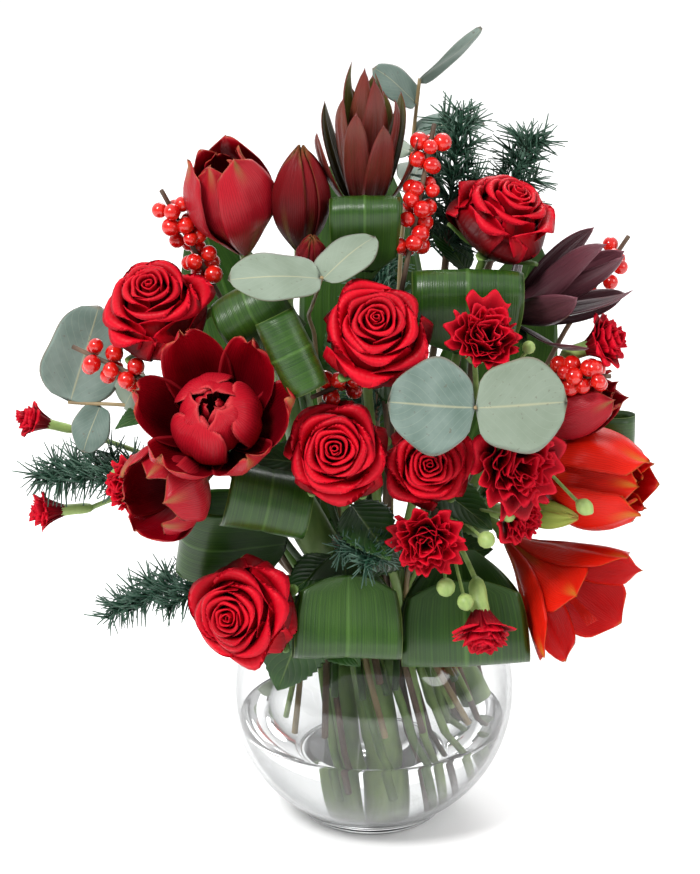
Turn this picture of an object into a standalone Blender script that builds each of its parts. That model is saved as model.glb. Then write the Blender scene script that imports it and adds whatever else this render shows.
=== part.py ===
"""A winter bouquet with amaryllis, standing in a clear glass bubble bowl of water.

Frame: +Z up, origin in the middle of the bowl's flat base, and the front of the bouquet faces -Y.
Sizes are in millimetres here, and each solid is made in metres. Heights of the flowers are counted
from the bowl's rim, so the bouquet stays in the mouth when the bowl changes.
"""

import math

import bmesh
import bpy
import numpy as np

MM = 0.001

# ---------------------------------------------------------------- driving dimensions, millimetres
BOWL_RADIUS = 85.0
BOWL_WALL = 3.0
BOWL_FLOOR = 7.0
HEEL_RADIUS = 44.0
HEEL_HEIGHT = 5.9
BASE_RADIUS = 40.0
MOUTH_RADIUS = 52.0
WATER_LEVEL = 62.0
GAP = 0.3

ROSE_STEM = 2.8
LEUCADENDRON_STEM = 3.4
PETIOLE = 2.3
STALK = 3.2
TWIG = 2.0
CARNATION_STEM = 1.8
LEAF_THICKNESS = 1.2
BERRY_RADIUS = 5.0
FOOT_CLEARANCE = 2.5
WALL_CLEARANCE = 2.5
STEM_CLEARANCE = 1.3
HEAD_CLEARANCE = 1.0
FOOT_SPREAD = 26.0
FOOT_SHARE = 1.0

# A foot stands FOOT_SPREAD from the bowl's axis, plus FOOT_SHARE of how far out the stem is in the mouth.

# ------------------------------------------------------------------------- the flowers and greens
# Place: x, y and height above the rim, of the middle of the head. Facing: azimuth, with 0 towards
# the front and 90 towards +X, and elevation. Size: radius and length of the head.
ROSES = {
    "rose_left": ((-117, -83, 194), (-15, 55), (29, 50)),
    "rose_top": ((-2, -112, 201), (0, 38), (28, 50)),
    "rose_middle": ((-21, -122, 131), (-4, 22), (27, 48)),
    "rose_low": ((30, -121, 121), (2, 19), (24, 46)),
    "rose_bottom": ((-66, -101, 34), (-25, 12), (29, 48)),
    "rose_right": ((71, -74, 228), (45, 60), (27, 48)),
}
# Each amaryllis: its stem's radius, the top of the stem, and its blooms and buds.
AMARYLLIS = {
    "amaryllis_left": (11.5, (-62, -52, 98), {
        "bloom_main": ("open", (-82, -111, 141), (-8, 25), (38, 74)),
        "bloom_lower": ("cup", (-104, -101, 98), (-40, -5), (26, 58)),
    }),
    "amaryllis_top": (10.0, (-54, -50, 184), {
        "bloom_half_open": ("cup", (-78, -74, 243), (-35, 68), (23, 66)),
        "bud_large": ("bud", (-40, -80, 247), (5, 80), (16, 60)),
        "bud_small": ("bud", (-34, -106, 222), (5, 55), (8, 30)),
    }),
    "amaryllis_right": (10.0, (58, -38, 62), {
        "bloom_upper": ("cup", (112, -78, 97), (66, -2), (27, 74)),
        "bloom_lower": ("open", (98, -70, 32), (50, -25), (34, 76)),
        "bud_green": ("bud", (90, -99, 82), (72, 0), (8, 34)),
    }),
    "amaryllis_dark": (8.0, (72, -40, 112), {
        "bloom_dark": ("bud", (108, -82, 139), (68, 28), (17, 60)),
    }),
}
LEUCADENDRONS = {
    "leucadendron_top": ((-4, -64, 277), (0, 76), (25, 84)),
    "leucadendron_right": ((97, -72, 206), (58, 34), (23, 80)),
}
# Each folded leaf: the nose of its fold, the way that the nose points, the line that it is folded
# along, the radius of the fold, the length of its two legs, and the width of the leaf.
FOLDED_LEAVES = {
    "leaf_fold_top": ((-4, -88, 255), (0.0, -0.25, 1.0), (1.0, 0.0, 0.05), 8, 44, 38),
    "leaf_fold_upper_right": ((48, -92, 222), (0.0, -0.35, 1.0), (1.0, 0.0, 0.02), 11, 46, 60),
    "leaf_roll_upper_left": ((-74, -112, 198), (-0.35, -0.8, 0.5), (0.86, -0.1, 0.5), 15, 32, 42),
    "leaf_roll_centre": ((-42, -122, 186), (0.1, -1.0, 0.3), (0.42, -0.2, -0.85), 11, 30, 44),
    "leaf_loop_left": ((-112, -104, 70), (-0.85, -0.5, 0.1), (0.35, 0.0, 0.94), 15, 58, 44),
    "leaf_dark_left": ((-46, -122, 97), (0.1, -1.0, 0.25), (-0.95, 0.0, 0.2), 17, 28, 46),
    "leaf_fold_bottom": ((-14, -112, 3), (0.0, -0.4, -0.9), (-1.0, 0.0, 0.2), 11, 46, 60),
    "leaf_fold_bottom_right": ((44, -98, -10), (0.05, -0.25, -1.0), (-1.0, 0.0, 0.0), 11, 52, 72),
    "leaf_fold_right": ((148, -42, 88), (1.0, -0.1, 0.0), (0.0, -0.1, -1.0), 9, 44, 62),
}
# Each plain leaf that backs the bouquet: its tip, its middle, its width.
BACK_LEAVES = {
    "leaf_back_left": ((-104, 66, 214), (-70, 62, 110), 74),
    "leaf_back_centre": ((-8, 74, 262), (-4, 78, 130), 78),
    "leaf_back_right": ((98, 58, 196), (70, 60, 96), 72),
}
# Each berried twig: its tip, a point part of the way down, and how many whorls of berries it has.
ILEX = {
    "ilex_left_long": ((-108, -72, 258), (-82, -68, 206), 5),
    "ilex_centre": ((28, -70, 292), (14, -86, 222), 6),
    "ilex_left_low": ((-164, -78, 172), (-124, -94, 158), 3),
    "ilex_middle": ((-34, -128, 154), (-8, -110, 160), 2),
    "ilex_right_top": ((142, -34, 222), (118, -26, 180), 3),
    "ilex_right": ((130, -92, 158), (102, -84, 156), 4),
}
# Each fir shoot: its tip, a point part of the way down, and its half width.
FIR = {
    "fir_top": ((54, -44, 290), (46, -56, 208), 16),
    "fir_top_right": ((88, -10, 274), (66, -12, 200), 15),
    "fir_left": ((-192, -34, 80), (-122, -52, 84), 15),
    "fir_low_left": ((-150, -44, 2), (-92, -62, 22), 14),
    "fir_bottom": ((4, -128, 66), (-14, -92, 62), 13),
    "fir_back": ((4, 92, 178), (2, 58, 84), 18),
}
# Each eucalyptus: the tip of its stem, a point part of the way down, and its leaves, each with its
# distance from the tip, the direction that it grows, the way that it faces, its length and width.
EUCALYPTUS = {
    "eucalyptus_top": ((26, 4, 303), (18, 10, 222), [
        (2, (0.75, 0.0, 0.6), (0.4, -0.6, -0.5), 46, 15),
        (14, (-0.6, -0.3, 0.6), (0.3, -0.7, 0.5), 34, 22),
        (30, (0.9, -0.1, 0.15), (0.1, -0.5, 0.9), 40, 22),
        (44, (-0.8, 0.3, 0.2), (0.2, -0.4, 0.9), 36, 22),
        (62, (0.3, 0.9, 0.2), (0.1, -0.2, 1.0), 38, 24),
    ]),
    "eucalyptus_centre": ((-20, -116, 212), (-26, -84, 186), [
        (1, (-1.0, -0.25, 0.1), (0.1, -0.6, 0.8), 50, 32),
        (3, (0.7, 0.5, 0.5), (0.0, -0.5, 0.9), 40, 28),
    ]),
    "eucalyptus_pair": ((46, -134, 166), (42, -96, 158), [
        (1, (-1.0, 0.0, 0.05), (0.05, -1.0, 0.1), 46, 50),
        (1, (1.0, 0.15, 0.0), (0.12, -1.0, 0.15), 50, 50),
    ]),
    "eucalyptus_left": ((-172, -44, 128), (-126, -46, 124), [
        (1, (0.3, 0.05, 0.93), (0.15, -0.95, 0.2), 58, 46),
        (18, (-0.35, -0.4, -0.85), (-0.2, -0.9, 0.3), 28, 24),
        (32, (0.3, -0.45, 0.8), (-0.4, -0.8, 0.3), 30, 24),
    ]),
}
# Each carnation spray: the top of its stem, and its flowers, each with its place, facing and size.
CARNATIONS = {
    "carnation_left": ((-112, -40, 92), {
        "flower_outer": ((-186, -20, 106), (-70, 20), (8, 32)),
        "flower_lower": ((-178, -34, 58), (-75, 0), (9, 32)),
        "flower_inner": ((-130, -84, 92), (-35, 15), (13, 30)),
    }),
    "carnation_centre": ((38, -74, 74), {
        "flower_left": ((30, -120, 77), (-5, 5), (17, 36)),
        "flower_low": ((60, -124, 30), (10, -50), (14, 30)),
        "flower_right": ((76, -106, 84), (35, 5), (12, 30)),
    }),
    "carnation_right": ((58, -60, 128), {
        "flower_upper": ((54, -106, 188), (10, 35), (18, 38)),
        "flower_large": ((68, -104, 122), (25, 5), (23, 42)),
        "flower_outer": ((116, -66, 174), (60, 25), (12, 34)),
    }),
}

# Turned outlines of the heads: share of the length, share of the radius, depth of the lobes.
ROSE_OUTLINE = [(0, .12, 0), (.1, .45, 0), (.3, .88, 0), (.58, 1, .03), (.82, .93, .05), (.97, .62, 0), (1, .3, 0)]
OPEN_OUTLINE = [(0, .1, 0), (.2, .14, 0), (.42, .42, 0), (.68, .82, .04), (.92, 1, .1), (1, .97, .14),
                (.8, .66, .06), (.5, .25, 0)]
CUP_OUTLINE = [(0, .15, 0), (.2, .22, 0), (.42, .72, 0), (.66, 1, .05), (.88, .9, .12), (1, .62, .2), (.8, .4, 0)]
BUD_OUTLINE = [(0, .3, 0), (.15, .7, 0), (.45, 1, 0), (.75, .75, .08), (1, .12, 0)]
LEUCADENDRON_OUTLINE = [(0, .14, 0), (.14, .4, 0), (.36, .8, .05), (.62, 1, .15), (.86, .9, .3), (1, .66, .4),
                        (.74, .4, 0)]
CARNATION_OUTLINE = [(0, .14, 0), (.3, .26, 0), (.5, .34, 0), (.64, .86, .06), (.8, 1, .1), (.96, .72, .05)]
HEAD_SIDES = 12
# The long stems, and how far above the bowl's floor each one is cut off.
LONG_FEET = {
    "rose_left": 30, "rose_top": 9, "rose_middle": 12, "rose_low": 24, "rose_bottom": 32, "rose_right": 22,
    "amaryllis_left": 3, "amaryllis_top": 12, "amaryllis_dark": 26, "leucadendron_top": 14, "leucadendron_right": 30,
    "ilex_left_long": 36, "ilex_centre": 10, "ilex_right": 38,
}
# How far above the water the other stems of each kind end.
SHORT_FEET = {"amaryllis": 8, "ilex": 14, "leaf": 38, "fir": 46, "eucalyptus": 12, "carnation": 20}
STEM_SIDES = {"rose": 6, "amaryllis": 9, "leucadendron": 12, "leaf": 4, "ilex": 5, "fir": 5, "eucalyptus": 5,
              "carnation": 5}
AMARYLLIS_OUTLINES = {"open": OPEN_OUTLINE, "cup": CUP_OUTLINE, "bud": BUD_OUTLINE}

# Measures that follow from the driving dimensions.
BOWL_CENTRE = HEEL_HEIGHT + math.sqrt(BOWL_RADIUS**2 - HEEL_RADIUS**2)
RIM_HEIGHT = BOWL_CENTRE + math.sqrt(BOWL_RADIUS**2 - MOUTH_RADIUS**2)
INNER_RADIUS = BOWL_RADIUS - BOWL_WALL
FLOOR_EDGE = BOWL_FLOOR + 3.0
FLOOR_FILLET = 5.0
BOWL_SIDES = 30


# ------------------------------------------------------------------------------- small geometry
def unit(vector):
    vector = np.asarray(vector, float)
    return vector / np.linalg.norm(vector)


def direction(azimuth, elevation):
    """The unit vector of a facing in degrees: azimuth 0 is the front, -Y, and 90 is +X."""
    turn, lift = math.radians(azimuth), math.radians(elevation)
    return np.array([math.sin(turn) * math.cos(lift), -math.cos(turn) * math.cos(lift), math.sin(lift)])


def above_rim(place):
    return np.asarray(place, float) + (0, 0, RIM_HEIGHT)


def beside(axis, towards=(0.0, 0.3, 1.0)):
    """A unit vector square to an axis, as near as it gets to another direction."""
    towards = np.asarray(towards, float)
    return unit(towards - axis * (towards @ axis))


def evenly(points, count):
    """Evenly spaced points along a row of points."""
    along = np.concatenate([[0], np.cumsum(np.linalg.norm(np.diff(points, axis=0), axis=1))])
    even = np.linspace(0, along[-1], count)
    return np.stack([np.interp(even, along, points[:, axis]) for axis in range(3)], axis=1)


def spline(points, count):
    """Evenly spaced points on a smooth curve through a few points."""
    points = np.asarray(points, float)
    knots = np.vstack([2 * points[0] - points[1], points, 2 * points[-1] - points[-2]])
    fine = []
    for a, b, c, d in zip(knots, knots[1:], knots[2:], knots[3:]):
        for t in np.linspace(0, 1, 12, endpoint=False):
            fine.append(0.5 * (2 * b + (c - a) * t + (2 * a - 5 * b + 4 * c - d) * t**2
                               + (3 * b - a - 3 * c + d) * t**3))
    return evenly(np.array(fine + [points[-1]]), count)


class Rings:
    """A row of rings that a skin is stretched over: centres, planes, half widths and half depths."""

    def __init__(self, centres, normals, across, widths, depths, lobes=None):
        self.centres = np.asarray(centres, float)
        count = len(self.centres)
        self.normals = np.broadcast_to(normals, (count, 3)).astype(float)
        self.across = np.broadcast_to(across, (count, 3)).astype(float)
        self.widths = np.broadcast_to(widths, count).astype(float)
        self.depths = np.broadcast_to(depths, count).astype(float)
        self.lobes = np.zeros(count) if lobes is None else np.asarray(lobes, float)

    def then(self, other):
        """These rings followed by another row, as one growing piece."""
        names = ("centres", "normals", "across", "widths", "depths", "lobes")
        return Rings(*(np.concatenate([getattr(self, n), getattr(other, n)]) for n in names))

    def backwards(self):
        return Rings(self.centres[::-1], -self.normals[::-1], self.across[::-1], self.widths[::-1],
                     self.depths[::-1], self.lobes[::-1])

    def moved(self, shift):
        return Rings(self.centres + shift, self.normals, self.across, self.widths, self.depths, self.lobes)

    def swollen(self, extra):
        """The same rings, larger all round and a little longer at their last end."""
        centres = self.centres.copy()
        centres[-1] += self.normals[-1] * extra
        return Rings(centres, self.normals, self.across, self.widths + extra, self.depths + extra, self.lobes)

    def filled(self, spacing=8.0):
        """The same row with more rings in between, no further apart than a spacing."""
        steps = np.linalg.norm(np.diff(self.centres, axis=0), axis=1)
        marks = np.concatenate([k + np.linspace(0, 1, 1 + math.ceil(step / spacing), endpoint=False)
                                for k, step in enumerate(steps)] + [[len(steps)]])
        places = np.arange(len(self.centres))

        def between(values):
            return np.stack([np.interp(marks, places, column) for column in values.T], axis=1)

        sizes = between(np.stack([self.widths, self.depths, self.lobes], axis=1))
        return Rings(between(self.centres), between(self.normals), between(self.across), *sizes.T)

    def room(self, least=5.0):
        """Balls that fill the rings' space: their middles and radii."""
        middles, radii = [], []
        rings = self.filled()
        for centre, across, width, depth in zip(rings.centres, rings.across, rings.widths, rings.depths):
            radius = max(depth, least if width > least else width)
            spare = max(width - radius, 0.0)
            for side in np.linspace(-spare, spare, 1 + 2 * math.ceil(spare / (1.6 * radius))):
                middles.append(centre + across * side)
                radii.append(radius)
        return np.array(middles), np.array(radii)


def path_rings(centres, widths, depths, first_across=None):
    """Rings square to a path, turned along with it."""
    centres = np.asarray(centres, float)
    tangents = np.gradient(centres, axis=0)
    tangents /= np.linalg.norm(tangents, axis=1)[:, None]
    side = beside(tangents[0]) if first_across is None else np.asarray(first_across, float)
    across = []
    for tangent in tangents:
        side = unit(side - tangent * (side @ tangent))
        across.append(side)
    return Rings(centres, tangents, across, widths, depths)


def head_rings(base, axis, radius, length, outline, widen=(1.0, 1.0)):
    """The rings of a turned head that grows from its base along its axis."""
    shares = np.array(outline, float)
    centres = base + np.outer(shares[:, 0] * length, axis)
    return Rings(centres, axis, beside(axis), shares[:, 1] * radius * widen[0],
                 shares[:, 1] * radius * widen[1], shares[:, 2])


# ------------------------------------------------------------------------------- making objects
def finish_of(name, colour, roughness, alpha=1.0, transmission=0.0):
    material = bpy.data.materials.new(name)
    material.use_nodes = True
    shader = material.node_tree.nodes["Principled BSDF"]
    shader.inputs["Base Color"].default_value = (*colour, 1.0)
    shader.inputs["Roughness"].default_value = roughness
    shader.inputs["Metallic"].default_value = 0.0
    shader.inputs["Alpha"].default_value = alpha
    shader.inputs["Transmission Weight"].default_value = transmission
    material.diffuse_color = (*colour, alpha)
    return material


def object_of(name, mesh, finish):
    piece = bpy.data.objects.new(name, mesh)
    bpy.context.scene.collection.objects.link(piece)
    piece.data.materials.append(finish)
    return piece


def skin(name, rings, sides):
    """A closed mesh over a row of rings, with a flat face at each end."""
    mesh = bpy.data.meshes.new(name)
    shape = bmesh.new()
    angles = np.arange(sides) * 2 * math.pi / sides
    rows = []
    for centre, normal, across, width, depth, lobe in zip(
            rings.centres, rings.normals, rings.across, rings.widths, rings.depths, rings.lobes):
        up = np.cross(normal, across)
        swell = 1 + lobe * np.cos(angles * sides / 2)
        points = centre + np.outer(np.cos(angles) * width * swell, across) + np.outer(
            np.sin(angles) * depth * swell, up)
        rows.append([shape.verts.new(point * MM) for point in points])
    for row, following in zip(rows, rows[1:]):
        for k in range(sides):
            after = (k + 1) % sides
            shape.faces.new((row[k], row[after], following[after], following[k]))
    shape.faces.new(rows[0][::-1])
    shape.faces.new(rows[-1])
    bmesh.ops.triangulate(shape, faces=shape.faces)
    shape.to_mesh(mesh)
    shape.free()
    return mesh


def joined(name, meshes, finish):
    """One grown piece: the first mesh with the others united to it."""
    piece = object_of(name, meshes[0], finish)
    helpers = bpy.data.collections.new(name + "_parts")
    helpers.hide_render = True
    bpy.context.scene.collection.children.link(helpers)
    for number, mesh in enumerate(meshes[1:]):
        helper = bpy.data.objects.new(f"{name}_part_{number}", mesh)
        helper.hide_render = True
        helper.display_type = "WIRE"
        helpers.objects.link(helper)
    union = piece.modifiers.new("grown together", "BOOLEAN")
    union.operation = "UNION"
    union.solver = "EXACT"
    union.operand_type = "COLLECTION"
    union.collection = helpers
    return piece


def turned(name, profile, segments):
    """A closed solid of revolution about Z, from an outline of radius and height."""
    mesh = bpy.data.meshes.new(name)
    shape = bmesh.new()
    points = [shape.verts.new((radius * MM, 0, height * MM)) for radius, height in profile]
    edges = [shape.edges.new(pair) for pair in zip(points, points[1:])]
    bmesh.ops.spin(shape, geom=points + edges, cent=(0, 0, 0), axis=(0, 0, 1),
                   angle=2 * math.pi, steps=segments)
    bmesh.ops.remove_doubles(shape, verts=shape.verts, dist=0.00001)
    bmesh.ops.recalc_face_normals(shape, faces=shape.faces)
    shape.to_mesh(mesh)
    shape.free()
    mesh.shade_smooth()
    return mesh


# ------------------------------------------------------------------------------ bowl and water
def sphere_arc(radius, low, high, steps):
    """Points of radius and height on a sphere about the bowl's centre, between two heights."""
    start, end = (math.asin((height - BOWL_CENTRE) / radius) for height in (low, high))
    return [(radius * math.cos(a), BOWL_CENTRE + radius * math.sin(a)) for a in np.linspace(start, end, steps)]


def wet_wall(clearance):
    """The inside of the bowl from the middle of its floor up to the water level, or just inside it."""
    side = sphere_arc(INNER_RADIUS - clearance, FLOOR_EDGE + clearance, WATER_LEVEL, 6)
    floor = BOWL_FLOOR + clearance
    return [(0, floor), (side[0][0] - FLOOR_FILLET, floor), *side]


def make_bowl(finish):
    """A blown bubble bowl: flat base, rounded heel, round body, and a fire-polished rim."""
    outside = sphere_arc(BOWL_RADIUS, HEEL_HEIGHT, RIM_HEIGHT, 10)
    dry = sphere_arc(INNER_RADIUS, WATER_LEVEL, RIM_HEIGHT, 6)[::-1]
    lip = (MOUTH_RADIUS - BOWL_WALL / 2, RIM_HEIGHT + BOWL_WALL * 0.4)
    heel = (HEEL_RADIUS - 1.0, HEEL_HEIGHT * 0.4)
    profile = [(0, 0), (BASE_RADIUS, 0), heel, *outside, lip, *dry[:-1], *wet_wall(0.0)[::-1]]
    return object_of("glass_bowl", turned("glass_bowl", profile, BOWL_SIDES), finish)


def make_water(finish, cutters):
    """The water that fills the bowl up to its level, with a hole for each stem that stands in it."""
    profile = [*wet_wall(GAP), (0, WATER_LEVEL)]
    water = object_of("water", turned("water", profile, BOWL_SIDES), finish)
    holes = bpy.data.collections.new("stem_holes")
    holes.hide_render = True
    bpy.context.scene.collection.children.link(holes)
    for number, mesh in enumerate(cutters):
        cutter = bpy.data.objects.new(f"stem_hole_{number}", mesh)
        cutter.hide_render = True
        cutter.display_type = "WIRE"
        holes.objects.link(cutter)
    cut = water.modifiers.new("stem holes", "BOOLEAN")
    cut.operation = "DIFFERENCE"
    cut.solver = "EXACT"
    cut.operand_type = "COLLECTION"
    cut.collection = holes
    return water


# ------------------------------------------------------------------------- heads of every kind
class Plant:
    """One stem and the heads that it carries. The heads keep their shape, and the stem bends."""

    def __init__(self, kind, name, heads, top, leaving, stem_radius, bend=26.0):
        self.kind = kind
        self.name = name
        self.heads = heads
        self.top = np.asarray(top, float)
        self.leaving = unit(leaving)
        self.stem_radius = stem_radius
        self.foot = BOWL_FLOOR + LONG_FEET[name] if name in LONG_FEET else WATER_LEVEL + SHORT_FEET[kind]
        self.bend = bend
        self.stem = None

    def room(self):
        """The balls that fill the heads and the first stretch of the stem."""
        rooms = [rings.room() for rings in self.heads.values()]
        stub = self.top + np.outer(np.arange(4) / 3 * self.bend * 0.7, self.leaving)
        rooms.append((stub, np.full(4, self.stem_radius)))
        return np.concatenate([r[0] for r in rooms]), np.concatenate([r[1] for r in rooms])

    def rough_room(self):
        """The heads as a few large balls, which a route through a thin leaf is pushed round."""
        middles, radii = [], []
        for rings in self.heads.values():
            middles.append(rings.centres.mean(axis=0))
            radii.append(min(rings.widths.max(), np.ptp(rings.centres, axis=0).max() / 2 + 4))
        return np.array(middles), np.array(radii)

    def move(self, shift):
        self.heads = {name: rings.moved(shift) for name, rings in self.heads.items()}
        self.top = self.top + shift


def rose(name, place, facing, size):
    radius, length = size
    axis = direction(*facing)
    base = above_rim(place) - axis * length / 2
    head = head_rings(base, axis, radius, length, ROSE_OUTLINE)
    return Plant("rose", name, {"bloom": head}, base - axis * 4 * GAP, -axis, ROSE_STEM)


def amaryllis(name, stem_radius, top, blooms):
    """A thick hollow stem that ends in a fan of blooms, each on its own short stalk."""
    top = above_rim(top)
    heads = {}
    for bloom, (kind, place, facing, (radius, length)) in blooms.items():
        axis = direction(*facing)
        base = above_rim(place) - axis * length / 2
        head = head_rings(base, axis, radius, length, AMARYLLIS_OUTLINES[kind])
        away = base - top
        start = top + unit(away) * (stem_radius + 3.0)
        thickness = min(STALK, radius * 0.2)
        stalk = path_rings(spline([start, start + unit(away) * 4, base - axis * 6], 3), thickness, thickness,
                           beside(axis))
        heads[bloom] = stalk.then(head)
    middle = np.mean([rings.centres[3] for rings in heads.values()], axis=0)
    leaving = unit(top - middle) + (0, 0, -1.2)
    return Plant("amaryllis", name, heads, top, leaving, stem_radius)


def leucadendron(name, place, facing, size):
    radius, length = size
    axis = direction(*facing)
    base = above_rim(place) - axis * length / 2
    head = head_rings(base, axis, radius, length, LEUCADENDRON_OUTLINE)
    return Plant("leucadendron", name, {"": head}, base - axis * 8, -axis, LEUCADENDRON_STEM)


def folded_leaf(name, nose, out, line, fold, leg, width):
    """A long leaf that is bent back on itself: a short leg, a round fold, a long leg, its stalk."""
    nose, out = above_rim(nose), unit(out)
    line = beside(out, line)
    under = np.cross(line, out)
    centre = nose - out * fold
    short = [centre + under * fold - out * leg * s for s in (0.75, 0.4)]
    turns = np.linspace(0, math.pi, 7)
    curve = [centre + fold * (under * math.cos(a) + out * math.sin(a)) for a in turns]
    long = [centre - under * fold * k - out * leg * s for s, k in ((0.45, 1.0), (0.8, 0.9), (1.05, 0.7))]
    widths = width / 2 * np.array([0.8, 0.95] + [1.0] * 7 + [0.95, 0.6, 0.2])
    rings = path_rings(short + curve + long, widths, LEAF_THICKNESS / 2, line)
    end = long[-1] - out * 6 + under * 2
    return Plant("leaf", name, {"": rings.backwards()}, end, long[-1] - long[-2], PETIOLE, bend=14.0)


def back_leaf(name, tip, middle, width):
    """A plain standing leaf, widest at its middle."""
    tip, middle = above_rim(tip), above_rim(middle)
    foot = middle * (0.5, 0.5, 0) + (0, 0, RIM_HEIGHT + 24)
    path = spline([foot, middle, tip], 9)
    share = np.linspace(0, 1, 9)
    widths = width / 2 * np.array([0.12, 0.45, 0.78, 0.96, 1.0, 0.92, 0.74, 0.46, 0.08])
    rings = path_rings(path, widths, LEAF_THICKNESS / 2 + 0.3 * (1 - share), (1.0, 0.0, 0.0))
    return Plant("leaf", name, {"": rings}, path[0] - unit(path[1] - path[0]) * 6, path[0] - path[1], PETIOLE)


def ilex(name, tip, along, whorls):
    """A bare twig with whorls of berries; each whorl is one bead on the twig."""
    tip, along = above_rim(tip), above_rim(along)
    path = spline([along, tip], 2 + 2 * whorls)
    bead = BERRY_RADIUS * 1.5
    widths = [TWIG, *[size for _ in range(whorls) for size in (bead, TWIG * 1.6)], TWIG]
    rings = path_rings(path, widths, widths)
    return Plant("ilex", name, {"": rings}, along - unit(tip - along) * 5, along - tip, TWIG)


def fir(name, tip, along, half_width):
    """A flat shoot of needles, as the envelope that its needles fill."""
    tip, along = above_rim(tip), above_rim(along)
    sag = np.array([0, 0, 5.0])
    path = spline([along, (along + tip) / 2 + sag, tip], 6)
    shares = np.array([0.2, 0.85, 1.0, 0.95, 0.75, 0.3])
    flat = np.cross(tip - along, (0.0, -0.4, 1.0))
    rings = path_rings(path, shares * half_width, shares * half_width * 0.45, beside(unit(tip - along), flat))
    return Plant("fir", name, {"": rings}, along - unit(tip - along) * 6, along - tip, PETIOLE)


def eucalyptus(name, tip, along, leaves):
    """A thin stem with round leaves, each a thin plate."""
    tip, along = above_rim(tip), above_rim(along)
    path = spline([along, tip], 5)
    rings = {"stem": path_rings(path, TWIG * 0.8, TWIG * 0.8)}
    back = unit(along - tip)
    for number, (distance, growing, facing, length, width) in enumerate(leaves):
        start = tip + back * distance
        growing = unit(growing)
        shares = np.array([0.0, 0.22, 0.62, 1.0])
        outline = np.array([0.15, 0.85, 0.95, 0.2])
        across = np.cross(unit(facing), growing)
        rings[f"leaf_{number}"] = path_rings(start + np.outer(shares * length, growing), outline * width / 2,
                                             LEAF_THICKNESS / 2, beside(growing, across))
    return Plant("eucalyptus", name, rings, along + back * 5, back, TWIG)


def carnation(name, top, flowers):
    """A thin stem that branches into a few flowers."""
    top = above_rim(top)
    heads = {}
    for flower, (place, facing, (radius, length)) in flowers.items():
        axis = direction(*facing)
        base = above_rim(place) - axis * length / 2
        branch = spline([top, top * 0.45 + base * 0.55 - axis * 6, base - axis * 7], 4)
        twig = path_rings(branch, CARNATION_STEM * 0.9, CARNATION_STEM * 0.9, beside(unit(branch[1] - branch[0])))
        head = head_rings(base, axis, radius, length, CARNATION_OUTLINE)
        head.across = np.broadcast_to(beside(axis, twig.across[-1]), head.across.shape)
        heads[flower] = twig.then(head)
    return Plant("carnation", name, heads, top, (0, 0.2, -1), CARNATION_STEM)


# ---------------------------------------------------------------------- finding room for it all
def near_pairs(first, first_radii, second, second_radii, slack):
    """Which balls of two sets are closer than a slack."""
    gap = (first**2).sum(1)[:, None] + (second**2).sum(1)[None] - 2 * first @ second.T
    reach = first_radii[:, None] + second_radii[None] + slack
    return np.nonzero(gap < reach**2)


def parting(first, second, reach):
    """The way from each second ball to its first, and how much too near they are."""
    apart = first - second
    distance = np.maximum(np.linalg.norm(apart, axis=1), 1e-6)
    return apart / distance[:, None], np.maximum(reach - distance, 0.0)


def side_parting(flat, routes, rows, columns, reach):
    """As parting, but square to the stem, so that two stems side by side never slip along each other."""
    tangents = np.gradient(routes, axis=1)
    spacing = np.linalg.norm(tangents, axis=2, keepdims=True)
    tangents = (tangents / spacing).reshape(-1, 3)[rows]
    apart = flat[rows] - flat[columns]
    along = (apart * tangents).sum(axis=1)
    apart -= tangents * along[:, None]
    apart += np.cross(tangents, (0.0, 0.0, 0.01)) * np.sign(rows - columns)[:, None]
    distance = np.maximum(np.linalg.norm(apart, axis=1), 1e-6)
    level = np.abs(along) < 0.7 * spacing.reshape(-1)[rows]
    return apart / distance[:, None], np.maximum(reach - distance, 0.0) * level


def rim_balls(count, radius, drop):
    angles = np.linspace(0, 2 * math.pi, count, endpoint=False)
    ring = MOUTH_RADIUS - BOWL_WALL / 2
    middles = np.stack([ring * np.cos(angles), ring * np.sin(angles), np.full(count, RIM_HEIGHT - drop)], axis=1)
    return middles, np.full(count, radius)


def worst_push(first, second):
    """The deepest overlap of two sets of balls, as the shift that would clear it."""
    rows, columns = near_pairs(*first, *second, HEAD_CLEARANCE)
    if not len(rows):
        return np.zeros(3)
    reach = first[1][rows] + second[1][columns] + HEAD_CLEARANCE
    way, depth = parting(first[0][rows], second[0][columns], reach)
    worst = np.argmax(depth)
    return way[worst] * depth[worst]


def settle_heads(plants, rounds=160):
    """Shifts whole plants a little, mostly in depth, until their heads have room."""
    rim = rim_balls(24, 8.0, 5.0)
    for turn in range(rounds):
        easy = np.array([0.4, 1.0, 0.4]) if turn < rounds * 0.4 else np.ones(3)
        rooms = [plant.room() for plant in plants]
        low = np.array([(middles - radii[:, None]).min(axis=0) for middles, radii in rooms])
        high = np.array([(middles + radii[:, None]).max(axis=0) for middles, radii in rooms])
        shifts = np.zeros((len(plants), 3))
        for i in range(len(plants)):
            for j in np.nonzero((low[i] < high[:i]).all(axis=1) & (low[:i] < high[i]).all(axis=1))[0]:
                step = worst_push(rooms[i], rooms[j]) * 0.3 * easy
                shifts[i] += step
                shifts[j] -= step
            shifts[i] += worst_push(rooms[i], rim) * 0.5
        for plant, shift in zip(plants, shifts):
            plant.move(shift)


def bowl_room(height):
    """How far from the axis a stem may be at each height inside the bowl."""
    inside = INNER_RADIUS**2 - (np.clip(height, 0, RIM_HEIGHT) - BOWL_CENTRE) ** 2
    return np.sqrt(np.maximum(inside, 1.0)) - WALL_CLEARANCE


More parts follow.
